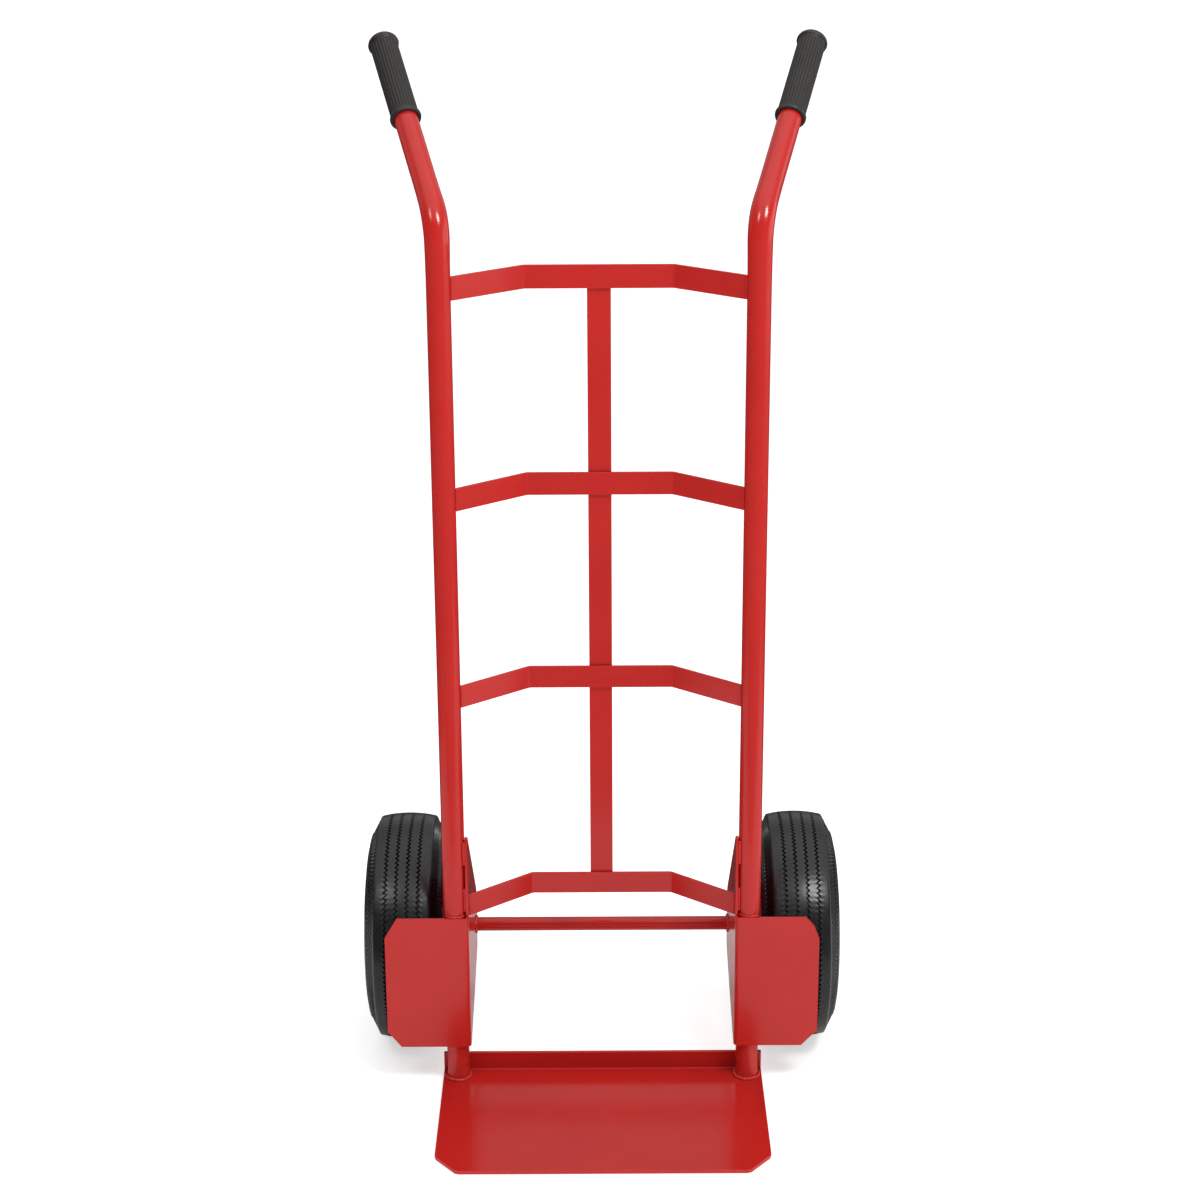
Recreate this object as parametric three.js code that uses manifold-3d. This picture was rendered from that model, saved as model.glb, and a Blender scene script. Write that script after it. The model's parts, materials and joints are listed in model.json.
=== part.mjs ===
// Two-wheeled sack truck (hand truck) with pneumatic tyres.
// Millimetres, +Z up. The origin is on the underside of the toe plate, in the
// plane of the two rails and midway between them. +Y points to the rear, where
// the wheels are; the load stands on the toe plate in front of the rails (-Y).
import * as THREE from 'three';
import { mergeVertices } from 'three/addons/utils/BufferGeometryUtils.js';
import Module from 'manifold-3d';

const wasm = await Module();
wasm.setup();

// ---------------------------------------------------------------- dimensions
const GAP = 0.3;                 // clearance between pieces that meet

const RAIL_X = 162.7;            // half the distance between rail centres
const RAIL_R = 12.5;             // 25 mm round tube
const RAIL_WALL = 1.8;
const RAIL_BEND_Z = 951;         // where the straight rail ends
const RAIL_BEND_R = 50;
const HANDLE_LEAN = 54;          // degrees back from vertical
const HANDLE_SPLAY = 18;         // degrees outward, seen from above
const HANDLE_LENGTH = 236;       // straight tube after the bend
const TUBE_SIDES = 16;

const GRIP_START = 118;          // along the straight handle tube, from the bend
const GRIP_END = 241;
const GRIP_R = 14.8;
const GRIP_FLANGE_R = 16.6;
const GRIP_BORE_R = RAIL_R + GAP;

const BAR_TALL = 25;             // flat bar of the crossbars
const BAR_T = 3;
const BAR_BOW = 59.6;            // how far the middle of a crossbar sits behind the rails
const BAR_FLAT = 156;            // width of the straight middle
const BAR_BEND_R = 7;
const BAR_TOPS = [919, 696, 476, 228]; // top edges, top bar first

const STRAP_W = 25;              // vertical middle strap
const STRAP_T = 3;

const TOE_W = 360;
const TOE_T = 4;
const TOE_FRONT = -199;          // front edge
const TOE_FLANGE_Y = 13.3;       // front face of the upturned rear flange
const TOE_FLANGE_H = 25;
const TOE_BEND_R = 1.2;
const TOE_CORNER_X = 23;
const TOE_CORNER_Y = 28;

const SHEET_T = 3;               // wheel guard and axle bracket sheet
const GUARD_OUT = 240;           // outer edge of the guard
const GUARD_LOW = 49;
const GUARD_HIGH = 207;
const GUARD_Y = -(RAIL_R + GAP); // rear face of the guard
const WEB_X = RAIL_X - RAIL_R - GAP; // outer face of the axle web
const WEB_TOP = 299;
const WEB_REAR = 154;

const WHEEL_R = 130;
const WHEEL_X = 224;             // middle plane of a wheel
const AXLE_Y = 127;
const AXLE_R = 8;
const AXLE_END = 266;
const TYRE_HALF = 44.6;            // half the section width
const RIM_SEAT_R = 50;
const RIM_FLANGE_R = 59;
const RIM_HALF = 27;
const RIM_T = 2;
const HUB_HALF = 32;
const HUB_R = 21;
const BEARING_R = 17.5;
const BEARING_W = 11;
const BOLT_CIRCLE_R = 33;
const BOLT_R = 4;
const HEX_R = 7.5;
const PIN_R = 1.6;
const PIN_X = 262;
const WASHER_R = 15;
const WASHER_T = 2;
const VALVE_R = 4;

// ------------------------------------------------------------------ materials
const paint = () => new THREE.MeshStandardMaterial({ color: 0xc4352c, roughness: 0.35, metalness: 0.0 });
const gripRubber = () => new THREE.MeshStandardMaterial({ color: 0x36302e, roughness: 0.6, metalness: 0.0 });
const tyreRubber = () => new THREE.MeshStandardMaterial({ color: 0x2a2a2e, roughness: 0.75, metalness: 0.0 });
const tubeRubber = () => new THREE.MeshStandardMaterial({ color: 0x1c1c1c, roughness: 0.7, metalness: 0.0 });
const rimPaint = () => new THREE.MeshStandardMaterial({ color: 0xc9c9c6, roughness: 0.4, metalness: 0.1 });
const zinc = () => new THREE.MeshStandardMaterial({ color: 0xb9bcc0, roughness: 0.35, metalness: 0.9 });
const steel = () => new THREE.MeshStandardMaterial({ color: 0xa6a8ab, roughness: 0.25, metalness: 1.0 });
const capPlastic = () => new THREE.MeshStandardMaterial({ color: 0x17171a, roughness: 0.5, metalness: 0.0 });

// -------------------------------------------------------------------- helpers
const truck = new THREE.Group();

function bare(geometry) {
  const g = geometry.index ? geometry.toNonIndexed() : geometry.clone();
  for (const name of Object.keys(g.attributes)) if (name !== 'position') g.deleteAttribute(name);
  return mergeVertices(g, 1e-4);
}

function solid(geometry) {
  const g = bare(geometry);
  return new wasm.Manifold(new wasm.Mesh({
    numProp: 3,
    vertProperties: new Float32Array(g.attributes.position.array),
    triVerts: new Uint32Array(g.index.array),
  }));
}

function surface(body) {
  const m = body.getMesh();
  const g = new THREE.BufferGeometry();
  const p = new Float32Array(m.numVert * 3);
  for (let i = 0; i < m.numVert; i += 1) {
    for (let k = 0; k < 3; k += 1) p[i * 3 + k] = m.vertProperties[i * m.numProp + k];
  }
  g.setAttribute('position', new THREE.BufferAttribute(p, 3));
  g.setIndex(new THREE.BufferAttribute(new Uint32Array(m.triVerts), 1));
  return g;
}

// A copy reflected in the plane between the rails, with its faces still outward.
function mirrored(geometry) {
  const g = bare(geometry);
  g.scale(-1, 1, 1);
  const t = g.index.array;
  for (let i = 0; i < t.length; i += 3) [t[i + 1], t[i + 2]] = [t[i + 2], t[i + 1]];
  return g;
}

function add(name, geometry, material, position) {
  const mesh = new THREE.Mesh(geometry, material);
  mesh.name = name;
  if (position) mesh.position.set(...position);
  truck.add(mesh);
}

// The same piece on the right (+X) and, reflected, on the left (-X).
function addPair(name, geometry, material) {
  add(`right_${name}`, bare(geometry), material());
  add(`left_${name}`, mirrored(geometry), material());
}

function prism(points, depth, holes = []) {
  const shape = new THREE.Shape(points.map(([x, y]) => new THREE.Vector2(x, y)));
  for (const h of holes) shape.holes.push(new THREE.Path(h.map(([x, y]) => new THREE.Vector2(x, y))));
  return new THREE.ExtrudeGeometry(shape, { depth, bevelEnabled: false });
}

function circle(r, n, cx = 0, cy = 0, turn = 0) {
  const out = [];
  for (let i = 0; i < n; i += 1) {
    const a = turn + (2 * Math.PI * i) / n;
    out.push([cx + r * Math.cos(a), cy + r * Math.sin(a)]);
  }
  return out;
}

// The outline of a bent strip in plan: offset both ways from a centre line with
// round bends.
function strip(points, thickness, bendRadius, steps) {
  const h = thickness / 2;
  const line = [{ p: points[0], n: null }];
  for (let i = 1; i < points.length - 1; i += 1) {
    const [a, b, c] = [points[i - 1], points[i], points[i + 1]].map((q) => new THREE.Vector2(...q));
    const u = b.clone().sub(a).normalize();
    const v = c.clone().sub(b).normalize();
    const turn = Math.atan2(u.x * v.y - u.y * v.x, u.dot(v));
    const reach = bendRadius * Math.tan(Math.abs(turn) / 2);
    const start = b.clone().addScaledVector(u, -reach);
    const side = Math.sign(turn);
    const centre = start.clone().add(new THREE.Vector2(-u.y, u.x).multiplyScalar(side * bendRadius));
    for (let k = 0; k <= steps; k += 1) {
      const w = start.clone().sub(centre).rotateAround(new THREE.Vector2(), (turn * k) / steps);
      line.push({ p: centre.clone().add(w).toArray(), n: w.clone().normalize().multiplyScalar(-side).toArray() });
    }
  }
  line.push({ p: points[points.length - 1], n: null });
  const first = new THREE.Vector2(line[1].p[0] - line[0].p[0], line[1].p[1] - line[0].p[1]).normalize();
  line[0].n = [-first.y, first.x];
  const m = line.length - 1;
  const last = new THREE.Vector2(line[m].p[0] - line[m - 1].p[0], line[m].p[1] - line[m - 1].p[1]).normalize();
  line[m].n = [-last.y, last.x];
  const up = line.map(({ p, n }) => [p[0] + n[0] * h, p[1] + n[1] * h]);
  const down = line.map(({ p, n }) => [p[0] - n[0] * h, p[1] - n[1] * h]);
  return up.concat(down.reverse());
}

// A path through given stations, with the sweep's steps exactly at the stations.
class StationPath extends THREE.Curve {
  constructor(points, tangents) {
    super();
    this.points = points;
    this.tangents = tangents;
  }

  at(list, u) {
    const x = Math.min(Math.max(u, 0), 1) * (list.length - 1);
    const i = Math.min(Math.floor(x + 1e-9), list.length - 2);
    return list[i].clone().lerp(list[i + 1], Math.min(Math.max(x - i, 0), 1));
  }

  getPoint(t, target = new THREE.Vector3()) { return target.copy(this.at(this.points, t)); }

  getPointAt(u, target = new THREE.Vector3()) { return this.getPoint(u, target); }

  getTangent(t, target = new THREE.Vector3()) { return target.copy(this.at(this.tangents, t)).normalize(); }

  getTangentAt(u, target = new THREE.Vector3()) { return this.getTangent(u, target); }
}

function sweep(section, holes, path) {
  const shape = new THREE.Shape(section.map(([x, y]) => new THREE.Vector2(x, y)));
  for (const h of holes) shape.holes.push(new THREE.Path(h.map(([x, y]) => new THREE.Vector2(x, y))));
  return new THREE.ExtrudeGeometry(shape, { steps: path.points.length - 1, bevelEnabled: false, extrudePath: path });
}

// A ring or disc turned about the X axis: profile points are [radius, x].
function turned(profile, segments) {
  const g = new THREE.LatheGeometry(profile.map(([r, x]) => new THREE.Vector2(r, x)), segments);
  g.rotateZ(-Math.PI / 2);
  const m = bare(g);
  // The sweep direction of a profile decides which way its faces point.
  const p = m.attributes.position;
  const t = m.index.array;
  let volume = 0;
  const [a, b, c] = [new THREE.Vector3(), new THREE.Vector3(), new THREE.Vector3()];
  for (let i = 0; i < t.length; i += 3) {
    a.fromBufferAttribute(p, t[i]);
    b.fromBufferAttribute(p, t[i + 1]);
    c.fromBufferAttribute(p, t[i + 2]);
    volume += a.dot(b.cross(c));
  }
  if (volume < 0) for (let i = 0; i < t.length; i += 3) [t[i + 1], t[i + 2]] = [t[i + 2], t[i + 1]];
  return m;
}

function tubeX(rOut, rIn, x0, x1, segments) {
  return turned([[rOut, x0], [rOut, x1], [rIn, x1], [rIn, x0], [rOut, x0]], segments);
}

// ---------------------------------------------------------------------- rails
const lean = THREE.MathUtils.degToRad(HANDLE_LEAN);
const splay = THREE.MathUtils.degToRad(HANDLE_SPLAY);
const out = new THREE.Vector3(Math.sin(splay), Math.cos(splay), 0); // plan direction of the handle
const up = new THREE.Vector3(0, 0, 1);
const handleDir = up.clone().multiplyScalar(Math.cos(lean)).addScaledVector(out, Math.sin(lean));

function railPath() {
  const points = [new THREE.Vector3(RAIL_X, 0, TOE_T + GAP)];
  const tangents = [up.clone()];
  const n = 9;
  for (let i = 0; i <= n; i += 1) {
    const a = (lean * i) / n;
    points.push(new THREE.Vector3(RAIL_X, 0, RAIL_BEND_Z)
      .addScaledVector(out, RAIL_BEND_R * (1 - Math.cos(a)))
      .addScaledVector(up, RAIL_BEND_R * Math.sin(a)));
    tangents.push(up.clone().multiplyScalar(Math.cos(a)).addScaledVector(out, Math.sin(a)));
  }
  points.push(points[points.length - 1].clone().addScaledVector(handleDir, HANDLE_LENGTH));
  tangents.push(handleDir.clone());
  return new StationPath(points, tangents);
}
const path = railPath();
const bendEnd = path.points[path.points.length - 2];
addPair('rail', sweep(circle(RAIL_R, TUBE_SIDES), [circle(RAIL_R - RAIL_WALL, TUBE_SIDES)], path), paint);

// ---------------------------------------------------------------------- grips
// A closed sleeve with a collar at each end, turned about its own axis and then
// laid along the handle.
{
  const s0 = GRIP_START;
  const s1 = GRIP_END;
  const profile = [
    [0, s1], [7, s1 - 0.4], [12, s1 - 2], [15, s1 - 4.4],
    [GRIP_FLANGE_R, s1 - 7], [GRIP_FLANGE_R, s1 - 10], [GRIP_R, s1 - 12],
    [GRIP_R, s0 + 5.6], [GRIP_FLANGE_R, s0 + 4], [GRIP_FLANGE_R, s0 + 1], [GRIP_FLANGE_R - 1, s0],
    [GRIP_BORE_R, s0], [GRIP_BORE_R, s1 - 4.6], [0, s1 - 4.6],
  ];
  const g = turned(profile, TUBE_SIDES);
  const turn = new THREE.Quaternion().setFromUnitVectors(new THREE.Vector3(1, 0, 0), handleDir);
  g.applyQuaternion(turn);
  g.translate(bendEnd.x, bendEnd.y, bendEnd.z);
  addPair('grip', g, gripRubber);
}

// ------------------------------------------------------------------ crossbars
const barNames = ['top_crossbar', 'upper_crossbar', 'lower_crossbar', 'bottom_crossbar'];
BAR_TOPS.forEach((top, i) => {
  // The lowest bar meets the axle webs, which lie against the rails there.
  const end = (i === 3 ? WEB_X - SHEET_T : RAIL_X - RAIL_R) - GAP;
  const half = BAR_FLAT / 2;
  const slope = BAR_BOW / (RAIL_X - RAIL_R - half);
  const reach = end + 4;
  const y = BAR_BOW - slope * (reach - half);
  const line = [[-reach, y], [-half, BAR_BOW], [half, BAR_BOW], [reach, y]];
  const outline = solid(prism(strip(line, BAR_T, BAR_BEND_R, 4), BAR_TALL));
  const box = new THREE.BoxGeometry(2 * end, 200, 4 * BAR_TALL);
  const g = surface(outline.intersect(solid(box)));
  g.translate(0, 0, top - BAR_TALL);
  add(barNames[i], g, paint());
});

// --------------------------------------------------------------- centre strap
{
  const y0 = BAR_BOW + BAR_T / 2 + GAP;
  const low = BAR_TOPS[3] - BAR_TALL + 3;
  const high = BAR_TOPS[0] - 3;
  const g = new THREE.BoxGeometry(STRAP_W, STRAP_T, high - low);
  g.translate(0, y0 + STRAP_T / 2, (high + low) / 2);
  add('centre_strap', g, paint());
}

// ------------------------------------------------------------------ toe plate
{
  // Side profile [y, z] of plate and upturned rear flange, then the plan corners.
  const rear = TOE_FLANGE_Y + TOE_T;
  const profile = [[TOE_FRONT, 0]];
  const ro = TOE_BEND_R + TOE_T;
  for (let k = 0; k <= 5; k += 1) {
    const a = -Math.PI / 2 + (Math.PI / 2) * (k / 5);
    profile.push([rear - ro + ro * Math.cos(a), ro + ro * Math.sin(a)]);
  }
  profile.push([rear, TOE_FLANGE_H], [TOE_FLANGE_Y, TOE_FLANGE_H]);
  for (let k = 5; k >= 0; k -= 1) {
    const a = -Math.PI / 2 + (Math.PI / 2) * (k / 5);
    profile.push([rear - ro + TOE_BEND_R * Math.cos(a), ro + TOE_BEND_R * Math.sin(a)]);
  }
  profile.push([TOE_FRONT, TOE_T]);
  const bent = prism(profile, TOE_W);
  bent.applyMatrix4(new THREE.Matrix4().makeBasis(
    new THREE.Vector3(0, 1, 0), new THREE.Vector3(0, 0, 1), new THREE.Vector3(1, 0, 0)));
  bent.translate(-TOE_W / 2, 0, 0);
  const w = TOE_W / 2;
  const f = TOE_FRONT;
  const corner = (s) => [
    [s * (w - TOE_CORNER_X - 5), f], [s * (w - TOE_CORNER_X), f + 1.5],
    [s * (w - 1.5), f + TOE_CORNER_Y], [s * w, f + TOE_CORNER_Y + 5],
  ];
  const plan = prism([...corner(1), [w, 40], [-w, 40], ...corner(-1).reverse()], 80);
  plan.translate(0, 0, -20);
  add('toe_plate', surface(solid(bent).intersect(solid(plan))), paint());
}

// ------------------------------------------ wheel guards with the axle webs
{
  const xi = WEB_X - SHEET_T;   // inner face of the web
  const yf = GUARD_Y - SHEET_T; // front face of the guard
  // Plan of the folded sheet: guard in front of the rail and tyre, fold at the
  // inner front corner, web running back beside the rail.
  const ri = 2;
  const ro = ri + SHEET_T;
  const plan = [[GUARD_OUT, yf]];
  const arc = (r, back) => {
    const list = [];
    for (let k = 0; k <= 6; k += 1) {
      const a = -Math.PI / 2 - (Math.PI / 2) * (k / 6);
      list.push([xi + ro + r * Math.cos(a), yf + ro + r * Math.sin(a)]);
    }
    return back ? list.reverse() : list;
  };
  plan.push(...arc(ro, false), [xi, WEB_REAR + 10], [WEB_X, WEB_REAR + 10], ...arc(ri, true), [GUARD_OUT, GUARD_Y]);
  const folded = prism(plan, 320);
  // Front outline of the guard [x, z]. The outer corners are sheared off by hand:
  // one cut each on the left guard, two on the right.
  const o = GUARD_OUT;
  const [lo, hi] = [GUARD_LOW, GUARD_HIGH];
  const corners = {
    left: [[o - 15, lo], [o, lo + 19], [o, hi - 23], [o - 13.5, hi]],
    right: [[o - 17.5, lo], [o - 8, lo + 10.5], [o, lo + 18], [o, hi - 26], [o - 6, hi - 10], [o - 15, hi]],
  };
  const guard = (side) => {
    const g = prism([[xi - 5, lo], ...corners[side], [xi - 5, hi]], 30);
    g.rotateX(Math.PI / 2);          // extruded along -Y now
    g.translate(0, GUARD_Y + 4, 0);
    return solid(g);
  };
  // Side outline of the web [y, z].
  const web = prism([
    [GUARD_Y + 3.5, GUARD_LOW], [0, GUARD_LOW + 1], [92, 74], [143, 87], [151, 92], [WEB_REAR, 102],
    [WEB_REAR, 156], [150, 165], [4, WEB_TOP - 2], [0, WEB_TOP], [-5, WEB_TOP - 1], [-8, WEB_TOP - 8],
    [-9, GUARD_HIGH + 8], [GUARD_Y + 3.5, GUARD_HIGH],
  ], SHEET_T + 10);
  web.applyMatrix4(new THREE.Matrix4().makeBasis(
    new THREE.Vector3(0, 1, 0), new THREE.Vector3(0, 0, 1), new THREE.Vector3(1, 0, 0)));
  web.translate(xi - 5, 0, 0);
  const bore = tubeX(AXLE_R + GAP, 0, xi - 10, WEB_X + 10, 24);
  bore.translate(0, AXLE_Y, WHEEL_R);
  const bracket = (side) => surface(solid(folded).intersect(guard(side).add(solid(web))).subtract(solid(bore)));
  add('right_axle_bracket', bracket('right'), paint());
  add('left_axle_bracket', mirrored(bracket('left')), paint());
}

// ----------------------------------------------------------- axle and spacers
const at = (g) => { g.translate(0, AXLE_Y, WHEEL_R); return g; };
{
  const rod = turned([[0, -AXLE_END], [AXLE_R - 1, -AXLE_END], [AXLE_R, -AXLE_END + 1],
    [AXLE_R, AXLE_END - 1], [AXLE_R - 1, AXLE_END], [0, AXLE_END]], 24);
  const hole = new THREE.CylinderGeometry(PIN_R + 0.35, PIN_R + 0.35, 40, 10);
  hole.rotateX(Math.PI / 2);
  let body = solid(rod);
  for (const x of [-PIN_X, PIN_X]) {
    const h = hole.clone();
    h.translate(x, 0, 0);
    body = body.subtract(solid(h));
  }
  add('axle', at(surface(body)), paint());
}
const hubIn = WHEEL_X - HUB_HALF;   // inner and outer ends of the hub
const hubOut = WHEEL_X + HUB_HALF;
addPair('axle_spacer', at(tubeX(11, AXLE_R + GAP, WEB_X + GAP, hubIn - 2 * GAP - WASHER_T - 0.3, 16)), paint);
addPair('inner_washer', at(tubeX(WASHER_R, AXLE_R + GAP, hubIn - GAP - WASHER_T - 0.2, hubIn - GAP - 0.2, 16)), zinc);
addPair('outer_washer', at(tubeX(WASHER_R, AXLE_R + GAP, hubOut + GAP + 0.2, hubOut + GAP + WASHER_T + 0.2, 16)), zinc);

// Split pin: eye above the axle, both legs through its hole, ends spread.
{
  const pts = [];
  const g = 0.92;      // half the distance between leg centres
  const leg = 0.62;    // leg radius
  pts.push([-5.2, -13.2], [-3.2, -11.4], [-g, -9.4], [-g, 9.2]);
  for (let k = 1; k < 12; k += 1) {
    const a = Math.PI + 0.42 - ((Math.PI + 0.84) * k) / 12;
    pts.push([3.1 * Math.cos(a), 12.9 + 3.1 * Math.sin(a)]);
  }
  pts.push([g, 9.2], [g, -9.4], [3.2, -11.4], [5.2, -13.2]);
  const P = pts.map(([y, z]) => new THREE.Vector3(PIN_X, y, z));
  const T = P.map((p, i) => {
    const a = P[Math.max(i - 1, 0)];
    const b = P[Math.min(i + 1, P.length - 1)];
    return b.clone().sub(a).normalize();
  });
  addPair('split_pin', at(bare(sweep(circle(leg, 6), [], new StationPath(P, T)))), zinc);
}

// --------------------------------------------------------------------- wheels
// Everything below is laid out about the wheel's own middle plane: x < 0 is the
// side that faces the frame.
const toWheel = (g) => { g.translate(WHEEL_X, AXLE_Y, WHEEL_R); return g; };
const BIG = 36;

// Tyre: tread, shoulders, sidewalls and beads around an open inner cavity.
{
  const half = [
    [WHEEL_R, 0], [129.1, 16], [126.3, 31.5], [115, 37.5], [103, 42.8], [92, TYRE_HALF], [76, 40],
    [61, RIM_HALF - 2.6], [RIM_SEAT_R + 0.5, RIM_HALF - 2.6], [RIM_SEAT_R + 0.5, RIM_HALF - 10],
    [70, 30], [90, 37.8], [108, 34.5], [119, 18], [121, 0],
  ];
  const loop = half.concat(half.slice(1, -1).reverse().map(([r, x]) => [r, -x]));
  loop.push(half[0]);
  addPair('tyre', toWheel(turned(loop, BIG)), tyreRubber);
}

// Inner tube: a thin-walled ring, open where the valve stem enters it.
const valveDir = new THREE.Vector3(0.5, 0, -Math.sqrt(0.75)); // towards the axle and outward
const valveFoot = new THREE.Vector3(8, 0, 56.5);       // on the wheel's upper side
{
  const section = (k) => [
    [118 - k, 0], [115 - k, 17 - k * 0.5], [104 - k * 0.7, 31 - k * 0.8], [88, 34 - k],
    [70 + k * 0.7, 24 - k * 0.8], [56 + k, 13 - k], [53 + k, 0],
  ];
  const ring = (k) => {
    const h = section(k);
    const loop = h.concat(h.slice(1, -1).reverse().map(([r, x]) => [r, -x]));
    loop.push(h[0]);
    return solid(turned(loop, 16));
  };
  const stem = new THREE.CylinderGeometry(VALVE_R - 1, VALVE_R - 1, 16, 10);
  stem.applyQuaternion(new THREE.Quaternion().setFromUnitVectors(new THREE.Vector3(0, 1, 0), valveDir));
  stem.translate(valveFoot.x, valveFoot.y, valveFoot.z);
  addPair('inner_tube', toWheel(surface(ring(0).subtract(ring(2)).subtract(solid(stem)))), tubeRubber);
}

// Rim: two pressed halves bolted together at the middle plane.
function rimHalf(s) {
  const c = 0.15; // half the gap between the halves
  const t = RIM_T;
  const profile = [
    [HUB_R + GAP, c], [RIM_SEAT_R, c], [RIM_SEAT_R, RIM_HALF - t],
    [RIM_FLANGE_R - 1.5, RIM_HALF - t + 0.5], [RIM_FLANGE_R, RIM_HALF + 2],
    [RIM_SEAT_R + 1, RIM_HALF], [RIM_SEAT_R - t, RIM_HALF - 1.2],
    [RIM_SEAT_R - t, c + t], [HUB_R + GAP, c + t], [HUB_R + GAP, c],
  ];
  let body = solid(turned(profile.map(([r, x]) => [r, s * x]), 24));
  for (let i = 0; i < 4; i += 1) {
    const a = Math.PI / 4 + (i * Math.PI) / 2;
    const h = tubeX(BOLT_R + GAP, 0, -10, 10, 12);
    h.translate(0, BOLT_CIRCLE_R * Math.cos(a), BOLT_CIRCLE_R * Math.sin(a));
    body = body.subtract(solid(h));
  }
  if (s > 0) {
    const h = new THREE.CylinderGeometry(VALVE_R + 0.6, VALVE_R + 0.6, 24, 14);
    h.applyQuaternion(new THREE.Quaternion().setFromUnitVectors(new THREE.Vector3(0, 1, 0), valveDir));
    h.translate(valveFoot.x + 8 * valveDir.x, 0, valveFoot.z + 8 * valveDir.z);
    body = body.subtract(solid(h));
  }
  return toWheel(surface(body));
}
addPair('rim_inner_half', rimHalf(-1), rimPaint);
addPair('rim_outer_half', rimHalf(1), rimPaint);

// Hub: a steel tube with a bearing seat bored in each end.
{
  const seat = HUB_HALF - BEARING_W - 0.4;
  addPair('hub', toWheel(turned([
    [HUB_R, -HUB_HALF], [HUB_R, HUB_HALF], [BEARING_R + GAP, HUB_HALF], [BEARING_R + GAP, seat],
    [14.5, seat], [14.5, -seat], [BEARING_R + GAP, -seat], [BEARING_R + GAP, -HUB_HALF], [HUB_R, -HUB_HALF],
  ], 24)), rimPaint);
}

// Ball bearings: a shielded outer ring that turns with the wheel, and an inner
// ring that stays on the axle.
for (const [side, s] of [['inner', -1], ['outer', 1]]) {
  const a = HUB_HALF - BEARING_W - 0.1;
  const b = HUB_HALF - 0.1;
  const ring = [[BEARING_R, a], [BEARING_R, b], [11, b], [11, b - 1], [14.2, b - 1], [14.2, a + 1], [11, a + 1], [11, a], [BEARING_R, a]];
  addPair(`${side}_bearing_outer_ring`, toWheel(turned(ring.map(([r, x]) => [r, s * x]), 16)), steel);
  const core = [[10.6, a], [10.6, b + 0.1], [AXLE_R + GAP, b + 0.1], [AXLE_R + GAP, a], [10.6, a]];
  addPair(`${side}_bearing_inner_ring`, toWheel(turned(core.map(([r, x]) => [r, s * x]), 16)), steel);
}

// Four hexagon bolts with nuts clamp the rim halves.
for (let i = 0; i < 4; i += 1) {
  const a = Math.PI / 4 + (i * Math.PI) / 2;
  const y = BOLT_CIRCLE_R * Math.cos(a);
  const z = BOLT_CIRCLE_R * Math.sin(a);
  const face = RIM_T + 0.15 + GAP;
  const head = tubeX(HEX_R, 0, face, face + 5.3, 6);
  const shank = turned([[0, -14], [BOLT_R - 1, -14], [BOLT_R, -13], [BOLT_R, face + 1], [0, face + 1]], 12);
  const bolt = surface(solid(head).add(solid(shank)));
  bolt.translate(0, y, z);
  addPair(`rim_bolt_${i + 1}`, toWheel(bolt), zinc);
  const nut = surface(solid(tubeX(HEX_R, 0, -face - 6.5, -face, 6)).subtract(solid(tubeX(BOLT_R + GAP, 0, -20, 0, 12))));
  nut.translate(0, y, z);
  addPair(`rim_nut_${i + 1}`, toWheel(nut), zinc);
}

// Valve stem through the outer rim half, with its screw cap.
{
  const aim = new THREE.Quaternion().setFromUnitVectors(new THREE.Vector3(1, 0, 0), valveDir);
  const lay = (g, s) => {
    g.applyQuaternion(aim);
    g.translate(valveFoot.x + s * valveDir.x, valveFoot.y, valveFoot.z + s * valveDir.z);
    return toWheel(g);
  };
  addPair('valve_stem', lay(turned([[0, 0], [VALVE_R, 0], [VALVE_R, 14], [2.6, 15.5], [2.6, 20], [0, 20]], 12), 5), tubeRubber);
  addPair('valve_cap', lay(turned([[2.9, 0], [4.1, 0], [4.1, 6], [3.2, 7], [0, 7], [0, 4.8], [2.9, 4.8], [2.9, 0]], 12), 21), capPlastic);
}

export default truck;
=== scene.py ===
import math

import bmesh
import bpy
import numpy as np
from mathutils import Euler, Matrix, Vector
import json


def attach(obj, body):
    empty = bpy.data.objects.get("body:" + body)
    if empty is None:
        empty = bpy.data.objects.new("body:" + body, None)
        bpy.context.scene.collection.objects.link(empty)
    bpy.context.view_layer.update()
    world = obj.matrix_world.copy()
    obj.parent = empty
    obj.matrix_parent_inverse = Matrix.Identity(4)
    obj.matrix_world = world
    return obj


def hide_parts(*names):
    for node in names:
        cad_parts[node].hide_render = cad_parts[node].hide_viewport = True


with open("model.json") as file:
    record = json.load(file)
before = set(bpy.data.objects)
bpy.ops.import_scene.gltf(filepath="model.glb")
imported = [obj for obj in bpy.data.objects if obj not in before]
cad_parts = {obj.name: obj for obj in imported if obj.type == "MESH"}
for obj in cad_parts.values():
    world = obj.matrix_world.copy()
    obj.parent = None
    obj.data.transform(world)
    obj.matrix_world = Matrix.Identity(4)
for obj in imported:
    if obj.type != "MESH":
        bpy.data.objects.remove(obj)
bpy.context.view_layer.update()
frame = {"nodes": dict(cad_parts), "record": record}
NODES = frame["nodes"]
BODY_OF = {n: b for b, ns in frame["record"]["behaviour"]["bodies"].items() for n in ns}
MM = 0.001
SCENE = bpy.context.scene

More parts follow.
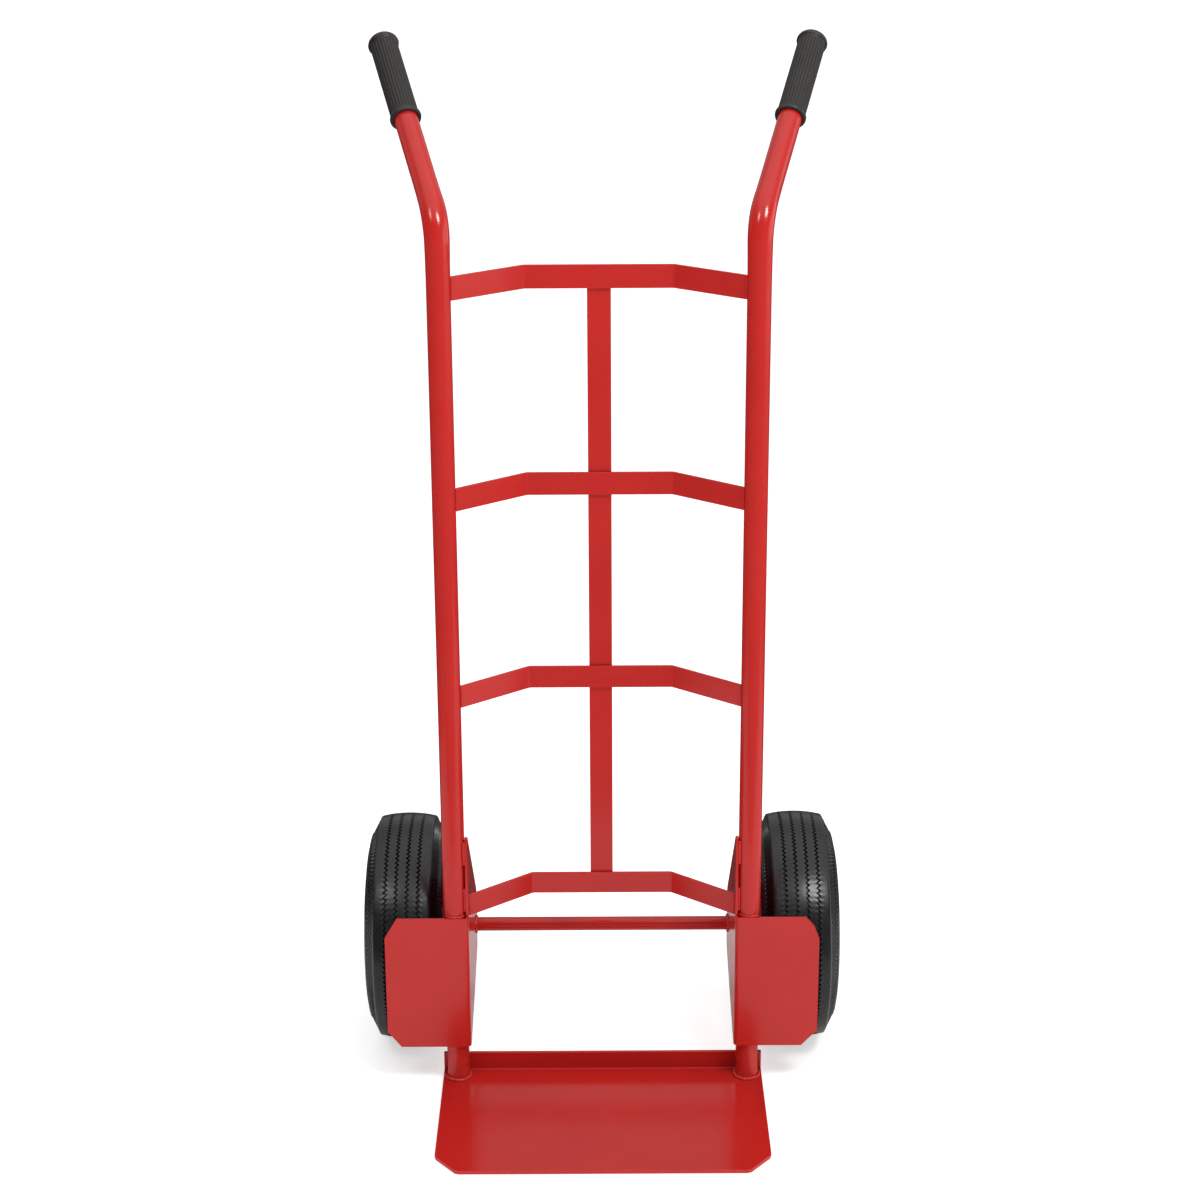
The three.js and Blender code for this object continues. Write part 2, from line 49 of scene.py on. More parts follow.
# Driving dimensions in millimetres, the same ones that the CAD model has.
GAP = 0.3
RAIL_X, RAIL_R, RAIL_WALL = 162.7, 12.5, 1.8
RAIL_BEND_Z, RAIL_BEND_R = 951.0, 50.0
LEAN, SPLAY = math.radians(54), math.radians(18)
HANDLE_LENGTH = 236.0
GRIP_START, GRIP_END = 118.0, 241.0
GRIP_R, GRIP_FLANGE_R = 14.8, 16.6
BAR_TALL, BAR_T, BAR_BOW, BAR_FLAT, BAR_BEND_R = 25.0, 3.0, 59.6, 156.0, 7.0
BAR_TOPS = [919.0, 696.0, 476.0, 228.0]
BAR_NAMES = ["top_crossbar", "upper_crossbar", "lower_crossbar", "bottom_crossbar"]
TOE_T, TOE_FLANGE_Y, TOE_FLANGE_H = 4.0, 13.3, 25.0
SHEET_T = 3.0
GUARD_LOW, GUARD_HIGH = 49.0, 207.0
WEB_X = RAIL_X - RAIL_R - GAP
WEB_TOP = 299.0
WHEEL_R, WHEEL_X, AXLE_Y, AXLE_R, AXLE_END = 130.0, 224.0, 127.0, 8.0, 266.0
HUB_HALF, HUB_R, BEARING_R, BEARING_W = 32.0, 21.0, 17.5, 11.0
RIM_SEAT_R, RIM_FLANGE_R, RIM_HALF, RIM_T = 50.0, 59.0, 27.0, 2.0
BOLT_CIRCLE_R, BOLT_R, HEX_R = 33.0, 4.0, 7.5
PIN_X = 262.0
OUT = np.array([math.sin(SPLAY), math.cos(SPLAY), 0.0])
UP = np.array([0.0, 0.0, 1.0])
HANDLE = UP * math.cos(LEAN) + OUT * math.sin(LEAN)
BEND_END = (np.array([RAIL_X, 0, RAIL_BEND_Z]) + OUT * RAIL_BEND_R * (1 - math.cos(LEAN))
            + UP * RAIL_BEND_R * math.sin(LEAN))


# ------------------------------------------------------------------ materials
class Net:
    """A small helper for writing node materials."""

    def __init__(self, name):
        self.m = bpy.data.materials.new(name)
        self.m.use_nodes = True
        self.t = self.m.node_tree
        self.t.nodes.clear()
        self.out = self.t.nodes.new("ShaderNodeOutputMaterial")
        self.b = self.t.nodes.new("ShaderNodeBsdfPrincipled")
        self.t.links.new(self.b.outputs[0], self.out.inputs[0])
        self.co = self.t.nodes.new("ShaderNodeTexCoord").outputs["Object"]

    def put(self, socket, value):
        if isinstance(value, bpy.types.NodeSocket):
            self.t.links.new(value, socket)
        else:
            socket.default_value = value

    def stretch(self, scale, turn=(0, 0, 0)):
        n = self.t.nodes.new("ShaderNodeMapping")
        self.put(n.inputs["Vector"], self.co)
        n.inputs["Scale"].default_value = scale
        n.inputs["Rotation"].default_value = turn
        return n.outputs[0]

    def noise(self, scale, detail=3.0, rough=0.5, vector=None, distortion=0.0):
        n = self.t.nodes.new("ShaderNodeTexNoise")
        self.put(n.inputs["Vector"], self.co if vector is None else vector)
        n.inputs["Scale"].default_value = scale
        n.inputs["Detail"].default_value = detail
        n.inputs["Roughness"].default_value = rough
        n.inputs["Distortion"].default_value = distortion
        return n.outputs["Fac"]

    def voronoi(self, scale, vector=None, feature="F1"):
        n = self.t.nodes.new("ShaderNodeTexVoronoi")
        n.feature = feature
        self.put(n.inputs["Vector"], self.co if vector is None else vector)
        n.inputs["Scale"].default_value = scale
        return n.outputs["Distance"]

    def remap(self, value, lo, hi, a=0.0, b=1.0):
        n = self.t.nodes.new("ShaderNodeMapRange")
        self.put(n.inputs["Value"], value)
        for k, v in (("From Min", lo), ("From Max", hi), ("To Min", a), ("To Max", b)):
            n.inputs[k].default_value = v
        return n.outputs[0]

    def calc(self, op, a, b=0.0):
        n = self.t.nodes.new("ShaderNodeMath")
        n.operation = op
        self.put(n.inputs[0], a)
        self.put(n.inputs[1], b)
        return n.outputs[0]

    def mix(self, fac, a, b):
        n = self.t.nodes.new("ShaderNodeMix")
        n.data_type = "RGBA"
        self.put(n.inputs["Factor"], fac)
        self.put(n.inputs["A"], (*a, 1.0) if isinstance(a, tuple) else a)
        self.put(n.inputs["B"], (*b, 1.0) if isinstance(b, tuple) else b)
        return n.outputs["Result"]

    def mark(self, name):
        n = self.t.nodes.new("ShaderNodeAttribute")
        n.attribute_name = name
        return n.outputs["Fac"]

    def bump(self, height, distance, strength=1.0, onto=None):
        n = self.t.nodes.new("ShaderNodeBump")
        n.inputs["Strength"].default_value = strength
        n.inputs["Distance"].default_value = distance
        self.put(n.inputs["Height"], height)
        if onto is not None:
            self.put(n.inputs["Normal"], onto)
        return n.outputs[0]

    def done(self, color, rough, normal, **constants):
        self.put(self.b.inputs["Base Color"], color)
        self.put(self.b.inputs["Roughness"], rough)
        self.put(self.b.inputs["Normal"], normal)
        for k, v in constants.items():
            self.b.inputs[k.replace("_", " ")].default_value = v
        return self.m


def red_paint():
    n = Net("red_paint")
    cloud = n.noise(9.0, 4, 0.55)
    speck = n.noise(1400.0, 2, 0.6)
    c = n.mix(n.remap(cloud, 0.3, 0.7), (0.500, 0.0150, 0.0125), (0.545, 0.0190, 0.0145))
    c = n.mix(n.remap(speck, 0.35, 0.75, 0.0, 0.22), c, (0.56, 0.024, 0.018))
    # Paint draws back from sharp edges and gets rubbed there.
    edge = n.calc("MULTIPLY", n.mark("edge"), n.remap(n.noise(160.0, 4, 0.7), 0.38, 0.66))
    c = n.mix(n.calc("MULTIPLY", edge, 0.55), c, (0.66, 0.060, 0.045))
    chip = n.calc("MULTIPLY", n.mark("edge"), n.remap(n.noise(420.0, 3, 0.8), 0.70, 0.74))
    c = n.mix(n.calc("MULTIPLY", chip, 0.6), c, (0.30, 0.17, 0.15))
    scuff = n.remap(n.noise(26.0, 5, 0.75, n.stretch((9.0, 9.0, 1.2), (0.2, 0.3, 0.5))), 0.60, 0.78)
    fine = n.calc("MULTIPLY", scuff, n.remap(n.noise(900.0, 2, 0.5), 0.4, 0.6))
    c = n.mix(n.calc("MULTIPLY", fine, 0.16), c, (0.75, 0.10, 0.09))
    r = n.remap(n.noise(42.0, 4, 0.6), 0.25, 0.75, 0.13, 0.21)
    r = n.calc("ADD", r, n.calc("MULTIPLY", fine, 0.14))
    r = n.calc("ADD", r, n.calc("MULTIPLY", edge, 0.10))
    peel = n.bump(n.noise(520.0, 2, 0.45), 0.0000055)
    peel = n.bump(n.noise(2600.0, 1, 0.5), 0.0000012, onto=peel)
    peel = n.bump(n.noise(14.0, 1, 0.3), 0.000060, onto=peel)
    return n.done(c, r, peel, Metallic=0.0, IOR=1.5)


def rubber(name, low, high, dust, rough, grain, ribs=0.0):
    n = Net(name)
    c = n.mix(n.remap(n.noise(34.0, 4, 0.6), 0.3, 0.7), low, high)
    c = n.mix(n.remap(n.noise(620.0, 3, 0.6), 0.45, 0.85, 0.0, 0.5), c, dust)
    # Painted shade: the grooves and slots under the groove mark are darkened to under half the rubber's own colour.
    c = n.mix(n.calc("MULTIPLY", n.mark("groove"), 0.75), c, tuple(x * 0.45 for x in low))
    worn = n.calc("MULTIPLY", n.mark("edge"), n.remap(n.noise(210.0, 3, 0.6), 0.35, 0.7))
    c = n.mix(n.calc("MULTIPLY", worn, 0.6), c, dust)
    r = n.remap(n.noise(75.0, 4, 0.6), 0.25, 0.75, rough - 0.07, rough + 0.08)
    r = n.calc("ADD", r, n.calc("MULTIPLY", n.mark("groove"), 0.2))
    b = n.bump(n.noise(1500.0, 3, 0.6), grain)
    b = n.bump(n.noise(240.0, 3, 0.5), grain * 2.0, onto=b)
    return n.done(c, r, b, Metallic=0.0, IOR=1.5)


def rim_paint():
    n = Net("rim_paint")
    c = n.mix(n.remap(n.noise(22.0, 4, 0.6), 0.3, 0.7), (0.56, 0.56, 0.54), (0.68, 0.68, 0.66))
    dirt = n.remap(n.noise(95.0, 5, 0.7), 0.56, 0.74)
    c = n.mix(n.calc("MULTIPLY", dirt, 0.28), c, (0.30, 0.28, 0.25))
    chip = n.calc("MULTIPLY", n.mark("edge"), n.remap(n.noise(500.0, 3, 0.8), 0.62, 0.66))
    c = n.mix(n.calc("MULTIPLY", chip, 0.7), c, (0.22, 0.21, 0.20))
    r = n.remap(n.noise(60.0, 3, 0.5), 0.3, 0.7, 0.26, 0.40)
    b = n.bump(n.noise(520.0, 2, 0.5), 0.000028)
    return n.done(c, r, b, Metallic=0.0, IOR=1.5)


def metal(name, low, high, tarnish, rough, brush):
    n = Net(name)
    c = n.mix(n.remap(n.noise(180.0, 4, 0.6), 0.3, 0.7), low, high)
    c = n.mix(n.calc("MULTIPLY", n.remap(n.noise(420.0, 5, 0.75), 0.55, 0.8), 0.5), c, tarnish)
    r = n.remap(n.noise(300.0, 3, 0.6), 0.25, 0.75, rough - 0.06, rough + 0.10)
    b = n.bump(n.noise(900.0, 3, 0.6, n.stretch(brush)), 0.000006)
    return n.done(c, r, b, Metallic=1.0)


PAINT = red_paint()
GRIP = rubber("grip_rubber", (0.014, 0.012, 0.011), (0.022, 0.019, 0.017), (0.050, 0.044, 0.040), 0.48, 0.000035)
TYRE = rubber("tyre_rubber", (0.006, 0.006, 0.008), (0.010, 0.010, 0.013), (0.034, 0.033, 0.035), 0.27, 0.000024)
TUBE = rubber("tube_rubber", (0.012, 0.012, 0.012), (0.020, 0.020, 0.020), (0.05, 0.05, 0.05), 0.55, 0.00002)
CAP = rubber("cap_plastic", (0.012, 0.012, 0.014), (0.019, 0.019, 0.022), (0.06, 0.06, 0.06), 0.42, 0.000012)
RIM = rim_paint()
ZINC = metal("zinc", (0.50, 0.51, 0.53), (0.66, 0.67, 0.68), (0.46, 0.42, 0.33), 0.30, (1.0, 1.0, 1.0))
STEEL = metal("bearing_steel", (0.46, 0.46, 0.47), (0.60, 0.60, 0.61), (0.30, 0.27, 0.23), 0.24, (6.0, 0.6, 0.6))


# -------------------------------------------------------------------- meshing
def grid(nu, nv, wrap_u, wrap_v):
    u = np.arange(nu if wrap_u else nu - 1)
    v = np.arange(nv if wrap_v else nv - 1)
    U, V = np.meshgrid(u, v, indexing="ij")
    U1, V1 = (U + 1) % nu, (V + 1) % nv
    return np.stack([U * nv + V, U1 * nv + V, U1 * nv + V1, U * nv + V1], -1).reshape(-1, 4)


class Shape:
    """Closed shells gathered into one mesh, with marks for edges and grooves."""

    def __init__(self):
        self.p, self.f, self.e, self.g, self.count = [], [], [], [], 0

    def shell(self, points, faces, edge=None, groove=None):
        points = np.asarray(points, float)
        faces = [list(map(int, f)) for f in faces]
        volume = 0.0
        for f in faces:
            a = points[f[0]]
            for i in range(1, len(f) - 1):
                volume += a @ np.cross(points[f[i]], points[f[i + 1]])
        if volume < 0:
            faces = [f[::-1] for f in faces]
        self.p.append(points)
        self.f += [[i + self.count for i in f] for f in faces]
        self.e.append(np.zeros(len(points)) if edge is None else np.asarray(edge, float))
        self.g.append(np.zeros(len(points)) if groove is None else np.asarray(groove, float))
        self.count += len(points)
        return self

    def sheet(self, P, wrap_u=True, wrap_v=True, caps=False, edge=None, groove=None):
        """P is (nu, nv, 3). With caps, the open ends of u are closed by a flat face."""
        nu, nv = P.shape[:2]
        quads = grid(nu, nv, wrap_u, wrap_v)
        pts = P.reshape(-1, 3)
        f = quads.tolist()
        if caps:
            f.append(list(range(nv))[::-1])
            f.append([(nu - 1) * nv + i for i in range(nv)])
        # Quick signed volume with numpy, then shell() needs no second pass.
        a, b, c, d = (pts[quads[:, k]] for k in range(4))
        vol = np.einsum("ij,ij->", a, np.cross(b, c)) + np.einsum("ij,ij->", a, np.cross(c, d))
        if caps:
            for face in f[-2:]:
                q = pts[face]
                vol += np.einsum("ij,ij->", np.repeat(q[:1], len(q) - 2, 0), np.cross(q[1:-1], q[2:]))
        if vol < 0:
            f = [x[::-1] for x in f]
        self.p.append(pts)
        self.f += [[i + self.count for i in x] for x in f]
        flat = lambda m: np.zeros(len(pts)) if m is None else np.broadcast_to(m, (nu, nv)).reshape(-1).astype(float)
        self.e.append(flat(edge))
        self.g.append(flat(groove))
        self.count += len(pts)
        return self

    def moved(self, fn):
        self.p = [fn(p) for p in self.p]
        return self

    def mirror(self):
        for p in self.p:
            p[:, 0] *= -1
        self.f = [x[::-1] for x in self.f]
        return self


def make(name, shape, material, nodes=(), body=None, angle=38.0, weld=True, weighted=False):
    """A finished piece: merged, smooth between sharp edges, and riding on its body."""
    me = bpy.data.meshes.new(name)
    me.from_pydata((np.concatenate(shape.p) * MM).tolist(), [], shape.f)
    for label, marks in (("edge", shape.e), ("groove", shape.g)):
        flat = np.concatenate(marks)
        if flat.any():
            me.attributes.new(label, "FLOAT", "POINT").data.foreach_set("value", flat.astype(np.float32))
    if weld:
        bm = bmesh.new()
        bm.from_mesh(me)
        bmesh.ops.remove_doubles(bm, verts=bm.verts, dist=2e-7)
        bmesh.ops.dissolve_degenerate(bm, edges=bm.edges, dist=1e-7)
        bm.to_mesh(me)
        bm.free()
    me.shade_smooth()
    me.set_sharp_from_angle(angle=math.radians(angle))
    me.materials.append(material)
    o = bpy.data.objects.new(name, me)
    SCENE.collection.objects.link(o)
    if weighted:
        w = o.modifiers.new("flat_faces", "WEIGHTED_NORMAL")
        w.keep_sharp = True
    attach(o, body or BODY_OF[nodes[0]])
    if nodes:
        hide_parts(*nodes)
    return o


def plate(node, name, material, bevel=0.45, segments=3):
    """The CAD sheet with its long flat faces whole and its sharp edges rounded."""
    bm = bmesh.new()
    bm.from_mesh(NODES[node].data)
    bmesh.ops.remove_doubles(bm, verts=bm.verts, dist=3e-6)
    bmesh.ops.dissolve_limit(bm, angle_limit=math.radians(1.5), verts=bm.verts, edges=bm.edges)
    sharp = [e for e in bm.edges if len(e.link_faces) == 2 and e.calc_face_angle(0.0) > math.radians(34)]
    edge = bm.faces.layers.float.new("edge")
    made = bmesh.ops.bevel(bm, geom=sharp, offset=bevel * MM, offset_type="OFFSET", segments=segments,
                           profile=0.5, affect="EDGES", clamp_overlap=True)
    for f in made["faces"]:
        f[edge] = 1.0
    me = bpy.data.meshes.new(name)
    bm.to_mesh(me)
    bm.free()
    me.shade_smooth()
    me.set_sharp_from_angle(angle=math.radians(40))
    me.materials.append(material)
    o = bpy.data.objects.new(name, me)
    SCENE.collection.objects.link(o)
    w = o.modifiers.new("flat_faces", "WEIGHTED_NORMAL")
    w.keep_sharp = True
    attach(o, BODY_OF[node])
    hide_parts(node)
    return o


def rounded(points, radius, steps=3, closed=True):
    """A polygon with round corners: (points, marks), marked 1 on the rounding.
    radius is one number, or one for each corner."""
    n = len(points)
    pts = [np.array(p, float) for p in points]
    radii = [radius] * n if np.isscalar(radius) else list(radius)
    out, marks = [], []
    for i, b in enumerate(pts):
        if not closed and i in (0, n - 1) or radii[i] <= 0:
            out.append(b)
            marks.append(0.0)
            continue
        a, c = pts[i - 1], pts[(i + 1) % n]
        u, v = a - b, c - b
        lu, lv = np.linalg.norm(u), np.linalg.norm(v)
        u, v = u / lu, v / lv
        half = math.acos(max(-1.0, min(1.0, u @ v))) / 2
        if half > math.radians(88):
            out.append(b)
            marks.append(0.0)
            continue
        reach = min(radii[i] / math.tan(half), lu * 0.48, lv * 0.48)
        r = reach * math.tan(half)
        centre = b + (u + v) / np.linalg.norm(u + v) * (r / math.sin(half))
        s, e = b + u * reach - centre, b + v * reach - centre
        total = math.acos(max(-1.0, min(1.0, (s @ e) / (r * r))))
        for k in range(steps + 1):
            t = k / steps
            w = (math.sin((1 - t) * total) * s + math.sin(t * total) * e) / math.sin(total)
            out.append(centre + w)
            marks.append(1.0 if 0 < k < steps else 0.0)
    return np.array(out), np.array(marks)


def lathe(shape, profile, n, radius=0.0, steps=3, closed=True, knurl=None):
    """Turns a [radius, x] profile about the X axis."""
    pts, marks = rounded(profile, radius, steps, closed)
    a = np.linspace(0, 2 * math.pi, n, endpoint=False)
    r = np.broadcast_to(pts[:, 0], (n, len(pts))).copy()
    x = np.broadcast_to(pts[:, 1], (n, len(pts)))
    if knurl is not None:
        r = knurl(r, x, a[:, None])
    P = np.stack([x, r * np.cos(a)[:, None], r * np.sin(a)[:, None]], -1)
    return shape.sheet(P, True, closed, edge=marks[None, :])


def aim(direction, foot):
    """A function that lays a piece turned about X along a direction from a foot."""
    d = np.asarray(direction, float)
    d = d / np.linalg.norm(d)
    side = np.cross(UP if abs(d[2]) < 0.9 else np.array([0.0, 1.0, 0.0]), d)
    side /= np.linalg.norm(side)
    other = np.cross(d, side)
    basis = np.stack([d, side, other])
    return lambda p: p @ basis + np.asarray(foot, float)


def both(name, build, material, node=None, angle=38.0, weighted=False):
    """The same piece on the right and, mirrored, on the left."""
    for side in ("right", "left"):
        s = build()
        if side == "left":
            s.mirror()
        n = f"{side}_{node}" if node else None
        make(f"{side}_{name}", s, material, (n,) if n else (), None if n else "frame", angle, weighted=weighted)


def tube_along(shape, centres, tangents, side, radius, n, marks=None):
    """A solid round bar along stations."""
    a = np.linspace(0, 2 * math.pi, n, endpoint=False)
    rows = []
    for c, t in zip(centres, tangents):
        b = np.cross(t, side)
        b /= np.linalg.norm(b)
        rows.append(c + radius * (np.cos(a)[:, None] * side + np.sin(a)[:, None] * b))
    return shape.sheet(np.array(rows), False, True, caps=True)


# ---------------------------------------------------------------------- welds
def bead(shape, path, radius, seed, pitch=2.3, closed=False, depth=0.16):
    """A weld bead along a line of points: overlapping ripples, uneven width, round ends."""
    g = np.random.default_rng(seed)
    path = np.array(path, float)
    if closed:
        path = np.vstack([path, path[:1]])
    seg = np.linalg.norm(np.diff(path, axis=0), axis=1)
    s = np.concatenate([[0], np.cumsum(seg)])
    step = 0.32
    n = max(12, int(s[-1] / step))
    t = np.linspace(0, s[-1], n)
    c = np.stack([np.interp(t, s, path[:, k]) for k in range(3)], 1)
    tan = np.gradient(c, axis=0)
    tan /= np.linalg.norm(tan, axis=1)[:, None]
    phase = t / pitch + 0.35 * np.interp(t, np.linspace(0, s[-1], 9), g.uniform(-1, 1, 9))
    ripple = np.abs(np.sin(math.pi * phase)) ** 0.7
    knots = max(4, int(s[-1] / 6))
    wander = np.interp(t, np.linspace(0, s[-1], knots), g.uniform(-1, 1, knots))
    rho = radius * (1.0 - depth + depth * ripple + 0.10 * wander)
    if not closed:
        end = np.clip(np.minimum(t, s[-1] - t) / radius, 0, 1)
        rho = rho * np.sqrt(np.clip(1 - (1 - end) ** 2, 0.02, 1))
    off = np.interp(t, np.linspace(0, s[-1], knots), g.uniform(-0.25, 0.25, knots))
    sides = 14
    a = np.linspace(0, 2 * math.pi, sides, endpoint=False)
    ref = np.array([0.31, 0.52, 0.79])
    ref = ref - (ref @ tan[0]) * tan[0]
    ref /= np.linalg.norm(ref)
    rows = []
    for i in range(n):
        ref = ref - (ref @ tan[i]) * tan[i]
        ref /= np.linalg.norm(ref)
        b = np.cross(tan[i], ref)
        rows.append(c[i] + off[i] * b + rho[i] * (np.cos(a)[:, None] * ref + np.sin(a)[:, None] * b))
    if closed:
        rows = rows[:-1]
    return shape.sheet(np.array(rows), closed, True, caps=not closed)


def arc(cx, cy, z, r, a0, a1, n=48):
    a = np.radians(np.linspace(a0, a1, n))
    return [(cx + r * math.cos(t), cy + r * math.sin(t), z) for t in a]


# ---------------------------------------------------------------------- rails
def rail_line():
    pts, tan = [np.array([RAIL_X, 0.0, TOE_T + GAP])], [UP]
    for z in [*np.linspace(60, RAIL_BEND_Z - 60, 10), *np.linspace(RAIL_BEND_Z - 50, RAIL_BEND_Z - 8, 6)]:
        pts.append(np.array([RAIL_X, 0.0, z]))
        tan.append(UP)
    for k in range(25):
        a = LEAN * k / 24
        pts.append(np.array([RAIL_X, 0, RAIL_BEND_Z]) + OUT * RAIL_BEND_R * (1 - math.cos(a)) + UP * RAIL_BEND_R * math.sin(a))
        tan.append(UP * math.cos(a) + OUT * math.sin(a))
    for d in (8, 16, 24, 34, 46, 60, 100, 160, HANDLE_LENGTH):
        pts.append(BEND_END + HANDLE * d)
        tan.append(HANDLE)
    return np.array(pts), np.array(tan)


def rail():
    s = Shape()
    pts, tan = rail_line()
    side = np.cross(OUT, UP)
    n = 56
    a = np.linspace(0, 2 * math.pi, n, endpoint=False)

    def ring(i, r, back=0.0):
        b = np.cross(tan[i], side)
        return pts[i] - tan[i] * back + r * (np.cos(a)[:, None] * side + np.sin(a)[:, None] * b)

    last = len(pts) - 1
    along = np.concatenate([[0.0], np.cumsum(np.linalg.norm(np.diff(pts, axis=0), axis=1))])
    middle = (RAIL_BEND_Z - TOE_T - GAP) + RAIL_BEND_R * LEAN * 0.58
    rows, marks = [], []
    # Up the outside, over the end, down the bore and back round the foot.
    rows.append(ring(0, RAIL_R - 0.35)); marks.append(1.0)
    rows.append(ring(0, RAIL_R, -0.35)); marks.append(1.0)
    for i in range(1, last):
        # A tube pressed round a bend goes slightly oval in the bend.
        away = along[i] - middle
        press = math.exp(-(away / (38.0 if away < 0 else 25.0)) ** 2)
        b = np.cross(tan[i], side)
        rows.append(pts[i] + RAIL_R * ((1 + 0.07 * press) * np.cos(a)[:, None] * side
                                       + (1 - 0.055 * press) * np.sin(a)[:, None] * b))
        marks.append(0.0)
    rows.append(ring(last, RAIL_R, 0.35)); marks.append(1.0)
    rows.append(ring(last, RAIL_R - 0.35)); marks.append(1.0)
    inner = RAIL_R - RAIL_WALL
    rows.append(ring(last, inner)); marks.append(0.0)
    for i in range(last - 1, 0, -1):
        rows.append(ring(i, inner)); marks.append(0.0)
    rows.append(ring(0, inner)); marks.append(0.0)
    return s.sheet(np.array(rows), True, True, edge=np.array(marks)[:, None])


both("rail_tube", rail, PAINT, "rail", 32)


# ---------------------------------------------------------------------- grips
def grip():
    s0, s1 = GRIP_START, GRIP_END
    # [radius, place] from the closed crown, over the end bead, down the ribbed
    # sleeve to the collar at the open end, then up the bore.
    crown = [(0.02, s1), (4, s1 - 0.12), (8, s1 - 0.55), (11.2, s1 - 1.5), (13.2, s1 - 2.8),
             (14.8, s1 - 4.3), (15.9, s1 - 5.9), (16.5, s1 - 7.6), (16.6, s1 - 8.8), (16.35, s1 - 9.8),
             (15.6, s1 - 10.6), (14.9, s1 - 11.2)]
    sleeve = [(14.85, p) for p in np.arange(s1 - 12.0, s0 + 6.2, -0.6)]
    collar = [(14.8, s0 + 5.8), (15.3, s0 + 5.1), (16.0, s0 + 4.5), (16.45, s0 + 3.9), (16.55, s0 + 3.2), (16.5, s0 + 2.0),
              (16.2, s0 + 1.0), (15.8, s0 + 0.4), (15.2, s0)]
    bore = [(13.3, s0), (12.85, s0 + 0.5), (12.8, s0 + 4), (12.8, s1 - 40), (12.8, s1 - 5.2), (12.4, s1 - 4.7), (0.02, s1 - 4.6)]
    prof = np.array(crown + sleeve + collar + bore)
    ribs, cols = 26, 26 * 8
    a = np.linspace(0, 2 * math.pi, cols, endpoint=False)
    r = np.broadcast_to(prof[:, 0], (cols, len(prof))).copy()
    x = np.broadcast_to(prof[:, 1], (cols, len(prof)))
    on = np.zeros(len(prof))
    lo, hi = len(crown), len(crown) + len(sleeve)
    on[lo:hi] = 1.0
    for k in range(4):
        on[lo + k] = on[hi - 1 - k] = k / 4
    wave = np.cos(ribs * a)[:, None]
    rib = np.clip(wave * 1.4, -1, 1)
    notch = (np.abs(((prof[:, 1] - s0) % 3.6) - 1.8) < 0.35).astype(float)
    depth = 0.48 * (1 - rib) * 0.5 + 0.22 * notch[None, :] * (rib > 0)
    r -= depth * on[None, :]
    groove = np.where(rib < -0.2, 1.0, 0.0) * (on[None, :] > 0.5)
    edge = (rib > 0.9) * (on[None, :] > 0.5) * 0.5
    edge[:, 7:9] = 0.8
    edge[:, hi + 4:hi + 7] = 0.8
    P = np.stack([x, r * np.cos(a)[:, None], r * np.sin(a)[:, None]], -1)
    s = Shape()
    s.sheet(P, True, False, edge=edge, groove=groove)
    return s.moved(aim(HANDLE, BEND_END))


both("grip_sleeve", grip, GRIP, "grip", 50)


# ------------------------------------------------------------------ crossbars
def bar_plan(end, steps=10):
    """Centre line of a crossbar in plan with its normals and slopes."""
    half = BAR_FLAT / 2
    slope = BAR_BOW / (RAIL_X - RAIL_R - half)
    ends = [np.array([-end, BAR_BOW - slope * (end - half)]), np.array([end, BAR_BOW - slope * (end - half)])]
    corners = [np.array([-half, BAR_BOW]), np.array([half, BAR_BOW])]
    pts = [ends[0], *corners, ends[1]]
    line = []
    u0 = (corners[0] - ends[0]) / np.linalg.norm(corners[0] - ends[0])
    line.append((ends[0], u0))
    for t in (0.33, 0.66):
        line.append((ends[0] + (corners[0] - ends[0]) * t * 0.9, u0))
    for i in (1, 2):
        u = pts[i] - pts[i - 1]; u /= np.linalg.norm(u)
        v = pts[i + 1] - pts[i]; v /= np.linalg.norm(v)
        turn = math.atan2(u[0] * v[1] - u[1] * v[0], u @ v)
        reach = BAR_BEND_R * math.tan(abs(turn) / 2)
        start = pts[i] - u * reach
        sg = math.copysign(1, turn)
        centre = start + np.array([-u[1], u[0]]) * sg * BAR_BEND_R
        for k in range(steps + 1):
            t = turn * k / steps
            w = start - centre
            w = np.array([w[0] * math.cos(t) - w[1] * math.sin(t), w[0] * math.sin(t) + w[1] * math.cos(t)])
            d = np.array([u[0] * math.cos(t) - u[1] * math.sin(t), u[0] * math.sin(t) + u[1] * math.cos(t)])
            line.append((centre + w, d))
        if i == 1:
            for t in (0.25, 0.5, 0.75):
                line.append((corners[0] + (corners[1] - corners[0]) * t, np.array([1.0, 0.0])))
    u1 = (ends[1] - corners[1]) / np.linalg.norm(ends[1] - corners[1])
    for t in (0.33, 0.66):
        line.append((corners[1] + (ends[1] - corners[1]) * (0.1 + t * 0.9), u1))
    line.append((ends[1], u1))
    return line


def crossbar(top, end):
    sec, marks = rounded([(-BAR_T / 2, -BAR_TALL / 2), (BAR_T / 2, -BAR_TALL / 2), (BAR_T / 2, BAR_TALL / 2), (-BAR_T / 2, BAR_TALL / 2)], 0.6, 3)
    line = bar_plan(end)
    rows = []
    for i, (c, d) in enumerate(line):
        nrm = np.array([-d[1], d[0]])
        row = []
        for a, z in sec:
            q = c + nrm * a
            if i in (0, len(line) - 1):       # the ends are cut square to the rails
                x = end if i else -end
                q = q + d * (x - q[0]) / d[0]
            row.append((q[0], q[1], top - BAR_TALL / 2 + z))
        rows.append(row)
    s = Shape()
    return s.sheet(np.array(rows), False, True, caps=True, edge=marks[None, :])


BAR_ENDS = []
for i, (name, top) in enumerate(zip(BAR_NAMES, BAR_TOPS)):
    end = (WEB_X - SHEET_T if i == 3 else RAIL_X - RAIL_R) - GAP
    BAR_ENDS.append(end)
    make(f"{name}_bar", crossbar(top, end), PAINT, (name,), angle=40, weighted=True)


